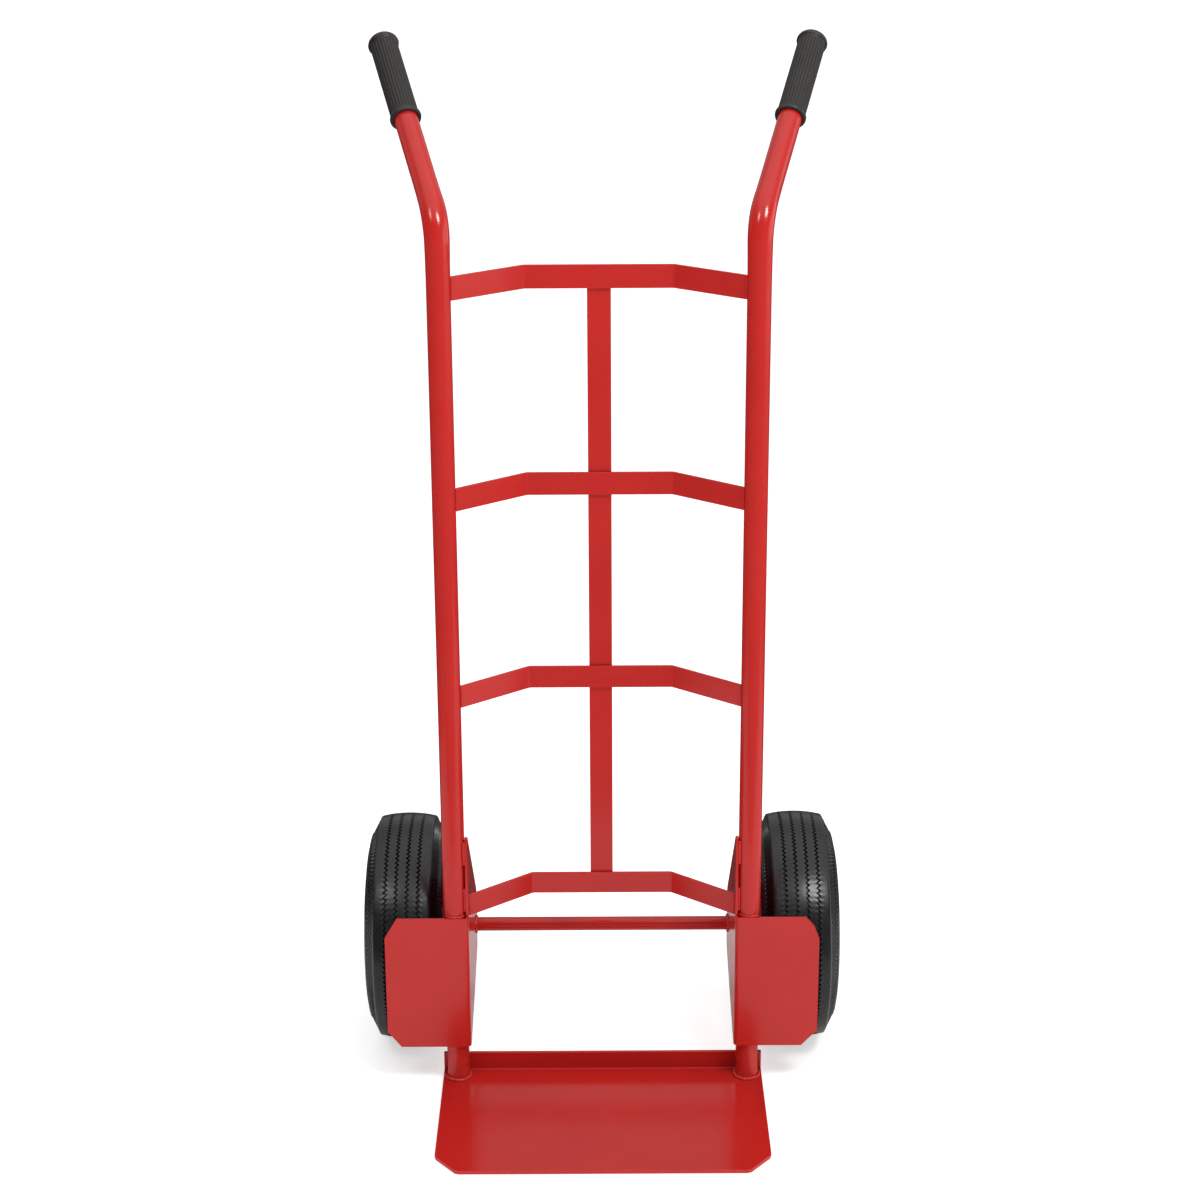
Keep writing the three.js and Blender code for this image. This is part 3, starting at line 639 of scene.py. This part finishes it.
def strap():
    y0 = BAR_BOW + BAR_T / 2 + GAP
    lo, hi = BAR_TOPS[3] - BAR_TALL + 3, BAR_TOPS[0] - 3
    sec, marks = rounded([(-12.5, y0), (12.5, y0), (12.5, y0 + 3), (-12.5, y0 + 3)], 0.6, 3)
    zs = np.linspace(lo, hi, 9)
    rows = [[(x, y, z) for x, y in sec] for z in zs]
    return Shape().sheet(np.array(rows), False, True, caps=True, edge=marks[None, :])


make("centre_strap_bar", strap(), PAINT, ("centre_strap",), angle=40, weighted=True)

# ------------------------------------------------------- toe plate and brackets
plate("toe_plate", "toe_plate_sheet", PAINT, 0.55)
plate("right_axle_bracket", "right_axle_bracket_sheet", PAINT, 0.45)
plate("left_axle_bracket", "left_axle_bracket_sheet", PAINT, 0.45)


# ------------------------------------------------------------------ weld beads
def foot_weld():
    s = Shape()
    bead(s, arc(RAIL_X, 0, TOE_T + 0.9, RAIL_R + 1.0, 100, 440, 120), 2.5, 11, 2.7, depth=0.22)
    bead(s, [(RAIL_X + 8.6, 11.6, 7), (RAIL_X + 8.6, 11.6, 24)], 2.2, 12)
    bead(s, [(RAIL_X - 8.6, 11.6, 7), (RAIL_X - 8.6, 11.6, 24)], 2.2, 13)
    return s


def guard_weld():
    s = Shape()
    bead(s, arc(RAIL_X, 0.2, GUARD_HIGH + 0.1, RAIL_R + 0.4, -152, -42, 60), 1.7, 21, 2.1)
    bead(s, arc(RAIL_X, 0.2, GUARD_LOW + 0.2, RAIL_R + 0.4, -140, -40, 60), 1.7, 22, 2.1)
    # Runs that fix the web to the inner side of the rail, front and rear.
    for k, (z0, z1) in enumerate(((212, 240), (268, 296))):
        bead(s, [(RAIL_X - 11.6, -7.2, z0), (RAIL_X - 11.6, -7.0, z1)], 1.7, 30 + k)
    for k, (z0, z1) in enumerate(((66, 98), (150, 186), (240, 272))):
        bead(s, [(RAIL_X - 11.2, 8.2, z0), (RAIL_X - 11.2, 8.2, z1)], 2.2, 40 + k)
    return s


def axle_weld():
    s = Shape()
    for x, seed in ((WEB_X - SHEET_T - 0.5, 51), (WEB_X + 0.5, 52)):
        a = np.radians(np.linspace(0, 360, 90, endpoint=False))
        ring = [(x, AXLE_Y + 9.0 * math.cos(t), WHEEL_R + 9.0 * math.sin(t)) for t in a]
        if x > WEB_X:
            continue
        bead(s, ring, 1.9, seed, closed=True)
    return s


both("foot_weld", foot_weld, PAINT, None, 60)
both("bracket_weld", guard_weld, PAINT, None, 60)
both("axle_weld", axle_weld, PAINT, None, 60)


def bar_weld(i):
    """Runs that join one end of a crossbar to its rail, front and rear, and the strap to the bar behind."""
    s = Shape()
    end, top = BAR_ENDS[i], BAR_TOPS[i]
    half = BAR_FLAT / 2
    slope = BAR_BOW / (RAIL_X - RAIL_R - half)
    y = BAR_BOW - slope * (end - half)
    off = BAR_T / 2 * math.hypot(1, slope)
    lo, hi = top - BAR_TALL + 0.8, top - 0.8
    for m in (1, -1):
        bead(s, [(m * (end - 0.3), y - off - 0.2, lo), (m * (end - 0.3), y - off - 0.2, hi)], 1.25, 60 + i * 4 + (m > 0), 1.9)
        bead(s, [(m * (end + 0.4), y + off + 0.6, lo), (m * (end + 0.4), y + off + 0.6, hi)], 2.3, 80 + i * 4 + (m > 0), 2.4)
        bead(s, [(m * 12.7, BAR_BOW + BAR_T / 2 + 0.5, lo + 2), (m * 12.7, BAR_BOW + BAR_T / 2 + 0.5, hi - 4)], 1.7, 100 + i * 4 + (m > 0), 2.1)
    return s


for i, name in enumerate(BAR_NAMES):
    make(f"{name}_weld", bar_weld(i), PAINT, (), "frame", 60)


# --------------------------------------------------------- axle and its fittings
def at_axle(p):
    return p + np.array([0.0, AXLE_Y, WHEEL_R])


def axle():
    s = Shape()
    half = [(0.02, -AXLE_END), (AXLE_R, -AXLE_END), (AXLE_R, AXLE_END), (0.02, AXLE_END)]
    lathe(s, half, 64, [0, 1.0, 1.0, 0], 3, closed=False)
    return s.moved(at_axle)


rod = make("axle_rod", axle(), PAINT, ("axle",), angle=32)
cutters = []
for x in (-PIN_X, PIN_X):
    c = Shape()
    lathe(c, [(0.01, -12), (1.95, -12), (1.95, 12), (0.01, 12)], 20, 0, closed=False)
    c.moved(lambda p: np.stack([p[:, 1] + x, p[:, 2] + AXLE_Y, p[:, 0] + WHEEL_R], 1))
    me = bpy.data.meshes.new("pin_hole")
    me.from_pydata((np.concatenate(c.p) * MM).tolist(), [], c.f)
    bm = bmesh.new(); bm.from_mesh(me)
    bmesh.ops.remove_doubles(bm, verts=bm.verts, dist=3e-5)
    bmesh.ops.recalc_face_normals(bm, faces=bm.faces)
    bm.to_mesh(me); bm.free()
    cutter = bpy.data.objects.new("pin_hole", me)
    SCENE.collection.objects.link(cutter)
    cut = rod.modifiers.new("pin_hole", "BOOLEAN")
    cut.object, cut.solver, cut.operation = cutter, "EXACT", "DIFFERENCE"
    cutters.append(cutter)
bpy.context.view_layer.update()
cut_mesh = bpy.data.meshes.new_from_object(rod.evaluated_get(bpy.context.evaluated_depsgraph_get()))
rod.modifiers.clear()
rod.data = cut_mesh
for c in cutters:
    bpy.data.objects.remove(c)


def ring(r_out, r_in, x0, x1, n=48, radius=0.35):
    def build():
        s = Shape()
        lathe(s, [(r_out, x0), (r_out, x1), (r_in, x1), (r_in, x0)], n, radius, 2)
        return s.moved(at_axle)
    return build


HUB_IN, HUB_OUT = WHEEL_X - HUB_HALF, WHEEL_X + HUB_HALF
both("axle_spacer_tube", ring(11, AXLE_R + GAP, WEB_X + GAP, HUB_IN - 2 * GAP - 2.3), PAINT, "axle_spacer", 32)
both("inner_washer_ring", ring(15, AXLE_R + GAP, HUB_IN - GAP - 2.2, HUB_IN - GAP - 0.2, radius=0.3), ZINC, "inner_washer", 32)
both("outer_washer_ring", ring(15, AXLE_R + GAP, HUB_OUT + GAP + 0.2, HUB_OUT + GAP + 2.2, radius=0.3), ZINC, "outer_washer", 32)


def split_pin():
    g = 0.92
    pts = [(-5.4, -13.3), (-4.3, -12.3), (-3.1, -11.3), (-1.9, -10.4), (-1.1, -9.5), (-g, -8.6), (-g, 0), (-g, 9.0)]
    for k in range(25):
        a = math.pi + 0.42 - (math.pi + 0.84) * k / 24
        pts.append((3.1 * math.cos(a), 12.9 + 3.1 * math.sin(a)))
    pts += [(g, 9.0), (g, 0), (g, -8.6), (1.1, -9.5), (1.9, -10.4), (3.1, -11.3), (4.3, -12.3), (5.4, -13.3)]
    c = np.array([(PIN_X, y, z) for y, z in pts])
    t = np.gradient(c, axis=0)
    t /= np.linalg.norm(t, axis=1)[:, None]
    s = Shape()
    tube_along(s, c, t, np.array([1.0, 0, 0]), 0.68, 12)
    return s.moved(at_axle)


both("split_pin_wire", split_pin, ZINC, "split_pin", 50)


# --------------------------------------------------------------------- wheels
def on_wheel(p):
    return p + np.array([WHEEL_X, AXLE_Y, WHEEL_R])


def crown(a):
    return WHEEL_R - a * a / 272.0


TEETH = 134


def tyre():
    cols = TEETH * 4
    # Each row: axial place, radius, zigzag share, groove mark, slot depth, slant, edge mark.
    half = [(0.0, crown(0), 0, 0, 0, 0, 0), (2.4, crown(2.4), 0.3, 0, 0, 0, 0)]
    for c in (6.2, 18.4):
        half += [(c - 1.45, crown(c - 1.45), 1, 0, 0, 0, 1), (c - 1.1, crown(c) - 0.5, 1, 0.3, 0, 0, 0.6),
                 (c - 0.7, crown(c) - 3.4, 1, 1, 0, 0, 0), (c + 0.7, crown(c) - 3.4, 1, 1, 0, 0, 0),
                 (c + 1.1, crown(c) - 0.5, 1, 0.3, 0, 0, 0.6), (c + 1.45, crown(c + 1.45), 1, 0, 0, 0, 1)]
        half += [(c + 4.3, crown(c + 4.3), 0.3, 0, 0, 0, 0), (c + 6.1, crown(c + 6.1), 0, 0, 0, 0, 0)]
        if c < 10:
            half += [(c + 8.4, crown(c + 8.4), 0.3, 0, 0, 0, 0)]
    half += [(28.0, crown(28.0), 0, 0, 0, 0, 0), (30.4, crown(30.4), 0, 0, 0, 0, 0.4), (31.2, 126.2, 0, 0, 0, 0, 1), (31.7, 125.4, 0, 0, 0, 0, 1),
             (32.1, 124.5, 0, 0, 0, 0.0, 0.3), (32.5, 123.6, 0, 0, 0, 0.15, 0)]
    band = [(32.8, 123.0), (33.5, 121.6), (34.3, 120.0), (35.2, 118.3), (36.1, 116.6), (37.1, 114.8), (38.1, 112.9), (38.9, 111.3), (39.5, 110.0)]
    for k, (a, r) in enumerate(band):
        half.append((a, r, 0, 0, 1.0, 0.3 + 0.42 * k, 0))
    last = 0.3 + 0.42 * len(band)
    half += [(39.9, 109.2, 0, 0, 0, last, 0.4), (40.6, 107.7, 0, 0, 0, last, 0), (40.7, 107.4, 0, 0, 0, last, 0), (41.7, 106.9, 0, 0, 0, last, 1),
             (42.0, 105.9, 0, 0, 0, last, 1), (41.6, 105.2, 0, 0, 0, last, 0), (42.9, 101.0, 0, 0, 0, last, 0), (44.0, 96.5, 0, 0, 0, last, 0),
             (44.6, 91.5, 0, 0, 0, last, 0), (44.2, 86.0, 0, 0, 0, last, 0), (42.8, 81.5, 0, 0, 0, last, 0),
             (40.6, 77.7, 0, 0, 0, last, 0), (39.5, 76.2, 0, 0, 0, last, 0), (39.7, 75.2, 0, 0, 0, last, 0.7), (38.8, 74.3, 0, 0, 0, last, 0.7),
             (37.2, 73.4, 0, 0, 0, last, 0), (33.4, 70.0, 0, 0, 0, last, 0), (29.6, 66.3, 0, 0, 0, last, 0),
             (26.6, 63.2, 0, 0, 0, last, 0), (25.0, 61.2, 0, 0, 0, last, 0), (24.4, 59.4, 0, 0, 0, last, 0), (24.4, 51.5, 0, 0, 0, last, 0),
             (23.6, 50.6, 0, 0, 0, last, 0), (18.0, 50.6, 0, 0, 0, last, 0), (17.0, 51.4, 0, 0, 0, last * 0.9, 0), (24.0, 61.0, 0, 0, 0, last * 0.7, 0),
             (30.0, 70.0, 0, 0, 0, last * 0.6, 0), (36.9, 82.0, 0, 0, 0, last * 0.5, 0), (38.0, 91.0, 0, 0, 0, last * 0.4, 0),
             (36.0, 103.0, 0, 0, 0, last * 0.3, 0), (30.5, 112.0, 0, 0, 0, last * 0.2, 0), (18.0, 119.5, 0, 0, 0, 0, 0), (0.0, 121.0, 0, 0, 0, 0, 0)]
    half = np.array(half, float)
    other = half[1:-1][::-1].copy()
    other[:, 0] *= -1
    other_sign = -np.ones(len(other))
    rows = np.vstack([half, other])
    sign = np.concatenate([np.ones(len(half)), other_sign])
    a0, r0, zig, gro, slot, slant, edge = rows.T
    j = np.arange(cols)
    tooth = np.array([0.0, 1.0, 0.0, -1.0])[j % 4] * 1.55
    ax = a0[None, :] + zig[None, :] * tooth[:, None]
    cut = np.where((j % 4) >= 2, 1.0, 0.0)
    r = r0[None, :] - slot[None, :] * cut[:, None] * 1.1
    ax = ax - sign[None, :] * slot[None, :] * cut[:, None] * 1.0
    pitch = 2 * math.pi / TEETH
    # The slots lean the same way round the section, so the two shoulders lean opposite ways.
    th = 2 * math.pi * j[:, None] / cols - sign[None, :] * slant[None, :] * pitch * 0.5
    P = np.stack([ax, r * np.cos(th), r * np.sin(th)], -1)
    groove = np.broadcast_to(gro[None, :], (cols, len(rows))) + slot[None, :] * cut[:, None] * 0.8
    edges = np.broadcast_to(edge[None, :], (cols, len(rows)))
    s = Shape()
    s.sheet(P, True, True, edge=edges, groove=np.clip(groove, 0, 1))
    # Moulding nibs left by the vents of the mould.
    g = np.random.default_rng(5)
    for k in range(22):
        for sg in (-1, 1):
            t = g.uniform(0, 2 * math.pi)
            rr, aa, hh = (124.8, 32.0, 2.4) if k % 2 else (99.0, 43.4, 2.0)
            d = np.array([sg * 0.75, 0.66 * math.cos(t), 0.66 * math.sin(t)]) if k % 2 else np.array([sg * 1.0, 0, 0])
            c0 = np.array([sg * (aa - 0.6), rr * math.cos(t), rr * math.sin(t)])
            d = d / np.linalg.norm(d)
            if k % 2 == 0:
                hh = min(hh, 0.9)
            c = np.array([c0, c0 + d * hh * 0.6, c0 + d * hh])
            side = np.cross(d, [0.2, 0.9, 0.3]); side /= np.linalg.norm(side)
            tube_along(s, c, np.array([d, d, d]), side, 0.32, 6)
    return s.moved(on_wheel)


both("tyre_casing", tyre, TYRE, "tyre", 34)


def inner_tube():
    s = Shape()
    out = [(118, 0), (115, 17), (104, 31), (88, 34), (70, 24), (56, 13), (53, 0)]
    out = out + [(r, -x) for r, x in out[1:-1][::-1]]
    # The tube wall is drawn as one closed ring, and the air inside it is not cut out.
    pts, marks = rounded(out, 7, 4)
    a = np.linspace(0, 2 * math.pi, 72, endpoint=False)
    P = np.stack([np.broadcast_to(pts[:, 1], (72, len(pts))), pts[None, :, 0] * np.cos(a)[:, None], pts[None, :, 0] * np.sin(a)[:, None]], -1)
    s.sheet(P, True, True)
    return s.moved(on_wheel)


both("inner_tube_ring", inner_tube, TUBE, "inner_tube", 40)


def rim_half(sg):
    c, t = 0.15, RIM_T

    def build():
        prof = [(HUB_R + GAP, c), (RIM_SEAT_R, c), (RIM_SEAT_R, RIM_HALF - t), (RIM_FLANGE_R - 1.5, RIM_HALF - t + 0.5),
                (RIM_FLANGE_R, RIM_HALF + 2), (RIM_SEAT_R + 1, RIM_HALF), (RIM_SEAT_R - t, RIM_HALF - 1.2),
                (RIM_SEAT_R - t, c + t), (HUB_R + GAP, c + t)]
        radii = [0.4, 1.2, 2.0, 1.0, 0.9, 1.6, 1.2, 3.0, 0.5]
        s = Shape()
        lathe(s, [(r, sg * x) for r, x in prof], 96, radii, 4)
        return s.moved(on_wheel)
    return build


both("rim_inner_half_dish", rim_half(-1), RIM, "rim_inner_half", 34)
both("rim_outer_half_dish", rim_half(1), RIM, "rim_outer_half", 34)


def hub():
    s = Shape()
    seat = HUB_HALF - BEARING_W - 0.4
    b = BEARING_R + GAP
    lathe(s, [(HUB_R, -HUB_HALF), (HUB_R, HUB_HALF), (b, HUB_HALF), (b, seat), (14.5, seat), (14.5, -seat), (b, -seat), (b, -HUB_HALF)],
          72, [0.8, 0.8, 0.5, 0.2, 0.4, 0.4, 0.2, 0.5], 3)
    return s.moved(on_wheel)


both("hub_tube", hub, RIM, "hub", 34)


def bearing_outer(sg):
    def build():
        a, b = HUB_HALF - BEARING_W - 0.1, HUB_HALF - 0.1
        s = Shape()
        prof = [(BEARING_R, a), (BEARING_R, b), (15.6, b), (15.2, b - 0.5), (14.6, b - 0.5), (13.4, b - 0.15), (11.6, b - 0.3), (11.0, b - 0.7), (11.0, b - 1.3),
                (14.2, b - 1.4), (14.2, a + 1.4), (11.0, a + 1.3), (11.0, a + 0.7), (11.6, a + 0.3), (13.4, a + 0.15), (14.6, a + 0.5), (15.2, a + 0.5), (15.6, a)]
        radii = [0.5, 0.5] + [0.15] * 16
        lathe(s, [(r, sg * x) for r, x in prof], 64, radii, 2)
        return s.moved(on_wheel)
    return build


def bearing_inner(sg):
    def build():
        a, b = HUB_HALF - BEARING_W - 0.1, HUB_HALF
        s = Shape()
        lathe(s, [(r, sg * x) for r, x in [(10.6, a), (10.6, b), (AXLE_R + GAP, b), (AXLE_R + GAP, a)]], 48, 0.35, 2)
        return s.moved(on_wheel)
    return build


for side, sg in (("inner", -1), ("outer", 1)):
    both(f"{side}_bearing_outer_race", bearing_outer(sg), STEEL, f"{side}_bearing_outer_ring", 34)
    both(f"{side}_bearing_inner_race", bearing_inner(sg), STEEL, f"{side}_bearing_inner_ring", 34)


def hexagon(shape, x0, x1, bore, turn, chamfer_both=False):
    """A hexagon head or nut along X, with turned chamfers. bore 0 gives a solid head."""
    n = 72
    a = np.linspace(0, 2 * math.pi, n, endpoint=False)
    flat = HEX_R * math.cos(math.pi / 6)
    R = flat / np.cos(((a + turn) % (math.pi / 3)) - math.pi / 6)
    rc = flat * 0.96
    drop = (R - rc) * math.tan(math.radians(30))
    d = math.copysign(1, x1 - x0)
    cols = []
    inner = bore if bore else 0.02
    rows_r, rows_x, e = [], [], []

    def row(r, x, mark=0.0):
        rows_r.append(np.broadcast_to(r, (n,)))
        rows_x.append(np.broadcast_to(x, (n,)))
        e.append(mark)
    row(inner, x0)
    if chamfer_both:
        row(rc, x0, 0.5); row(R, x0 + d * drop, 1.0)
    else:
        row(R, x0, 0.6)
    row(R, x1 - d * drop, 1.0)
    row(rc, x1, 0.6)
    if bore:
        row(inner + 0.7, x1, 0.5)
        row(inner, x1 - d * 0.5, 0.2)
    else:
        row(rc * 0.55, x1 + 0.0)
        row(rc * 0.50, x1 - d * 0.25, 0.5)
        row(inner, x1 - d * 0.3)
    r, x = np.array(rows_r).T, np.array(rows_x).T
    P = np.stack([x, r * np.cos(a)[:, None], r * np.sin(a)[:, None]], -1)
    return shape.sheet(P, True, bool(bore), edge=np.array(e)[None, :])


FACE = RIM_T + 0.15 + GAP
for k in range(4):
    ang = math.pi / 4 + k * math.pi / 2
    by, bz = BOLT_CIRCLE_R * math.cos(ang), BOLT_CIRCLE_R * math.sin(ang)

    def bolt():
        s = Shape()
        hexagon(s, FACE, FACE + 5.3, 0, 0.3 * k)
        prof = [(0.02, -14), (BOLT_R - 1.0, -14)]
        x = -13.3
        while x < -6.5:
            prof += [(BOLT_R - 0.05, x), (BOLT_R - 0.05, x + 0.25), (BOLT_R - 0.62, x + 0.62), (BOLT_R - 0.62, x + 0.8)]
            x += 1.25
        prof += [(BOLT_R, x), (BOLT_R, FACE + 1.0), (0.02, FACE + 1.0)]
        lathe(s, prof, 32, 0, closed=False)
        s.moved(lambda p: p + np.array([0.0, by, bz]))
        return s.moved(on_wheel)

    def nut():
        s = Shape()
        hexagon(s, -FACE, -FACE - 6.5, BOLT_R + GAP, 0.7 * k + 0.2)
        s.moved(lambda p: p + np.array([0.0, by, bz]))
        return s.moved(on_wheel)

    both(f"rim_bolt_{k + 1}_hex", bolt, ZINC, f"rim_bolt_{k + 1}", 30)
    both(f"rim_nut_{k + 1}_hex", nut, ZINC, f"rim_nut_{k + 1}", 30)

VALVE_DIR = np.array([0.5, 0.0, -math.sqrt(0.75)])
VALVE_FOOT = np.array([8.0, 0.0, 56.5])


def valve_stem():
    s = Shape()
    prof = [(0.02, 0), (4.0, 0), (4.0, 12.5), (3.5, 14.2), (2.7, 15.2)]
    x = 15.6
    while x < 19.6:
        prof += [(2.6, x), (2.6, x + 0.2), (2.25, x + 0.45), (2.25, x + 0.6)]
        x += 0.8
    prof += [(2.3, 20), (0.02, 20)]
    lathe(s, prof, 40, 0, closed=False)
    return s.moved(aim(VALVE_DIR, VALVE_FOOT + VALVE_DIR * 5)).moved(on_wheel)


def valve_cap():
    s = Shape()
    prof = [(2.9, 0), (3.9, 0), (4.1, 0.5), (4.1, 5.4), (3.9, 6.1), (3.2, 6.7), (2.0, 6.98), (0.02, 7), (0.02, 4.8), (2.9, 4.8)]
    fn = lambda r, x, a: r - np.where((r > 3.8) & (x > 0.4) & (x < 5.6), 0.28 * (np.cos(18 * a) < 0), 0.0)
    lathe(s, prof, 144, 0, closed=True, knurl=fn)
    return s.moved(aim(VALVE_DIR, VALVE_FOOT + VALVE_DIR * 21)).moved(on_wheel)


both("valve_stem_rubber", valve_stem, TUBE, "valve_stem", 34)
both("valve_cap_screw", valve_cap, CAP, "valve_cap", 34)


# ---------------------------------------------------------------------- stage
BOX = 1.5
SIDE_LOW, SIDE_HIGH, TOP, BACK, KEY, FILL = 0.05, 0.20, 0.95, 0.34, 27.0, 8.0


def floor():
    n = 24
    xs = np.linspace(-40, 40, n)
    P = [(x, y, -0.0006) for x in xs for y in xs]
    me = bpy.data.meshes.new("studio_floor")
    me.from_pydata(P, [], grid(n, n, False, False).tolist())
    o = bpy.data.objects.new("studio_floor", me)
    SCENE.collection.objects.link(o)
    m = Net("pale_floor")
    c = m.mix(m.remap(m.noise(3.0, 3, 0.5), 0.3, 0.7), (0.94, 0.94, 0.94), (0.96, 0.96, 0.96))
    r = m.remap(m.noise(40.0, 2, 0.5), 0.3, 0.7, 0.85, 0.95)
    me.materials.append(m.done(c, r, m.bump(m.noise(700.0, 2, 0.5), 0.00005), Metallic=0.0, Specular_IOR_Level=0.1,
                                Emission_Color=(1.0, 1.0, 1.0, 1.0), Emission_Strength=0.55))
    o.visible_glossy = False
    return o


floor()


def backdrop():
    # A far white wall that only the camera sees, so that every view has the same pale ground.
    n = 64
    a = np.linspace(0, 2 * math.pi, n, endpoint=False)
    P = [(39.0 * math.cos(t), 39.0 * math.sin(t), z) for t in a for z in (-0.0004, 60.0)]
    F = [(2 * k, 2 * ((k + 1) % n), 2 * ((k + 1) % n) + 1, 2 * k + 1) for k in range(n)]
    me = bpy.data.meshes.new("studio_backdrop")
    me.from_pydata(P, [], F)
    o = bpy.data.objects.new("studio_backdrop", me)
    SCENE.collection.objects.link(o)
    m = Net("pale_wall")
    c = m.mix(m.remap(m.noise(0.4, 2, 0.5), 0.3, 0.7), (0.93, 0.93, 0.93), (0.96, 0.96, 0.96))
    r = m.remap(m.noise(2.0, 2, 0.5), 0.3, 0.7, 0.88, 0.96)
    me.materials.append(m.done(c, r, m.bump(m.noise(60.0, 2, 0.5), 0.00005), Metallic=0.0, Specular_IOR_Level=0.0,
                                Emission_Color=(1.0, 1.0, 1.0, 1.0), Emission_Strength=0.85))
    for kind in ("diffuse", "glossy", "transmission", "volume_scatter", "shadow"):
        setattr(o, "visible_" + kind, False)


backdrop()

# A white sheet round the foot of the object, which only its reflections see.
me = bpy.data.meshes.new("studio_sheet")
me.from_pydata([(-1.1, -0.62, -0.0005), (1.6, -0.62, -0.0005), (1.4, 0.42, -0.0005), (-1.1, 0.42, -0.0005)], [], [(0, 1, 2, 3)])
sheet = bpy.data.objects.new("studio_sheet", me)
SCENE.collection.objects.link(sheet)
card = Net("studio_card")
me.materials.append(card.done(card.mix(card.remap(card.noise(3.0, 3, 0.5), 0.3, 0.7), (0.70, 0.70, 0.70), (0.74, 0.74, 0.74)),
                              card.remap(card.noise(40.0, 2, 0.5), 0.3, 0.7, 0.85, 0.95),
                              card.bump(card.noise(700.0, 2, 0.5), 0.00005), Metallic=0.0, Specular_IOR_Level=0.1))
sheet.visible_camera = False
sheet.visible_diffuse = False
sheet.visible_shadow = False
sheet.visible_transmission = False

world = bpy.data.worlds.new("studio")
SCENE.world = world
world.use_nodes = True
wt = world.node_tree
wt.nodes.clear()
wo = wt.nodes.new("ShaderNodeOutputWorld")
bg = wt.nodes.new("ShaderNodeBackground")
tc = wt.nodes.new("ShaderNodeTexCoord")
sep = wt.nodes.new("ShaderNodeSeparateXYZ")
wt.links.new(tc.outputs["Generated"], sep.inputs[0])


def slope(axis, lo, hi, a, b):
    n = wt.nodes.new("ShaderNodeMapRange")
    n.interpolation_type = "SMOOTHSTEP"
    for k, v in (("From Min", lo), ("From Max", hi), ("To Min", a), ("To Max", b)):
        n.inputs[k].default_value = v
    wt.links.new(sep.outputs[axis], n.inputs["Value"])
    return n.outputs[0]


def wmath(op, a, b):
    n = wt.nodes.new("ShaderNodeMath")
    n.operation = op
    wt.links.new(a, n.inputs[0])
    wt.links.new(b, n.inputs[1])
    return n.outputs[0]


side = slope("X", -0.85, 0.80, SIDE_LOW, SIDE_HIGH)
top = slope("Z", 0.50, 0.95, 0.03, TOP)
box = wmath("MULTIPLY", slope("X", 0.80, 0.93, 0.0, BOX), wmath("MULTIPLY", slope("Z", -0.30, -0.05, 0.0, 1.0), slope("Z", 0.20, 0.42, 1.0, 0.0)))
back = slope("Y", -0.2, 0.6, 0.0, BACK)
above = slope("Z", -0.02, 0.10, 0.0, 1.0)
under = slope("Z", 0.45, 0.80, 1.0, 0.10)
wall = wmath("MULTIPLY", back, wmath("MULTIPLY", above, under))
low = wmath("ADD", slope("Z", -0.45, 0.02, 0.45, 1.0), slope("Y", 0.0, 0.5, 0.0, -0.40))
level = wmath("ADD", wmath("ADD", wmath("MULTIPLY", side, low), box), wmath("ADD", top, wall))
wt.links.new(level, bg.inputs["Strength"])
bg.inputs["Color"].default_value = (1.0, 1.0, 1.0, 1.0)
wt.links.new(bg.outputs[0], wo.inputs[0])


def area(name, place, target, size, power):
    d = bpy.data.lights.new(name, "AREA")
    d.shape, d.size, d.energy = "DISK", size, power
    o = bpy.data.objects.new(name, d)
    o.location = place
    o.rotation_euler = (Vector(target) - Vector(place)).to_track_quat("-Z", "Y").to_euler()
    SCENE.collection.objects.link(o)
    o.visible_camera = False
    return o


area("key_light", (1.00, -1.35, 2.60), (0.0, 0.0, 0.80), 0.70, KEY)
area("fill_light", (-1.10, -1.35, 2.60), (0.0, 0.0, 0.80), 0.60, FILL)

cam = bpy.data.cameras.new("camera")
cam.sensor_width = 36.0
cam.lens = 72.285
cam.shift_x, cam.shift_y = -0.00030, -0.00425
cam.clip_start, cam.clip_end = 0.05, 200.0
co = bpy.data.objects.new("camera", cam)
co.location = (0.0, -2.409, 1.400)
# The photo is turned by about a third of a degree.
co.rotation_euler = (Euler((math.radians(71.16), 0.0, 0.0)).to_matrix() @ Matrix.Rotation(-0.0048, 3, "Z")).to_euler()
SCENE.collection.objects.link(co)
SCENE.camera = co
SCENE.view_settings.view_transform = "Standard"

import json
bpy.context.view_layer.update()
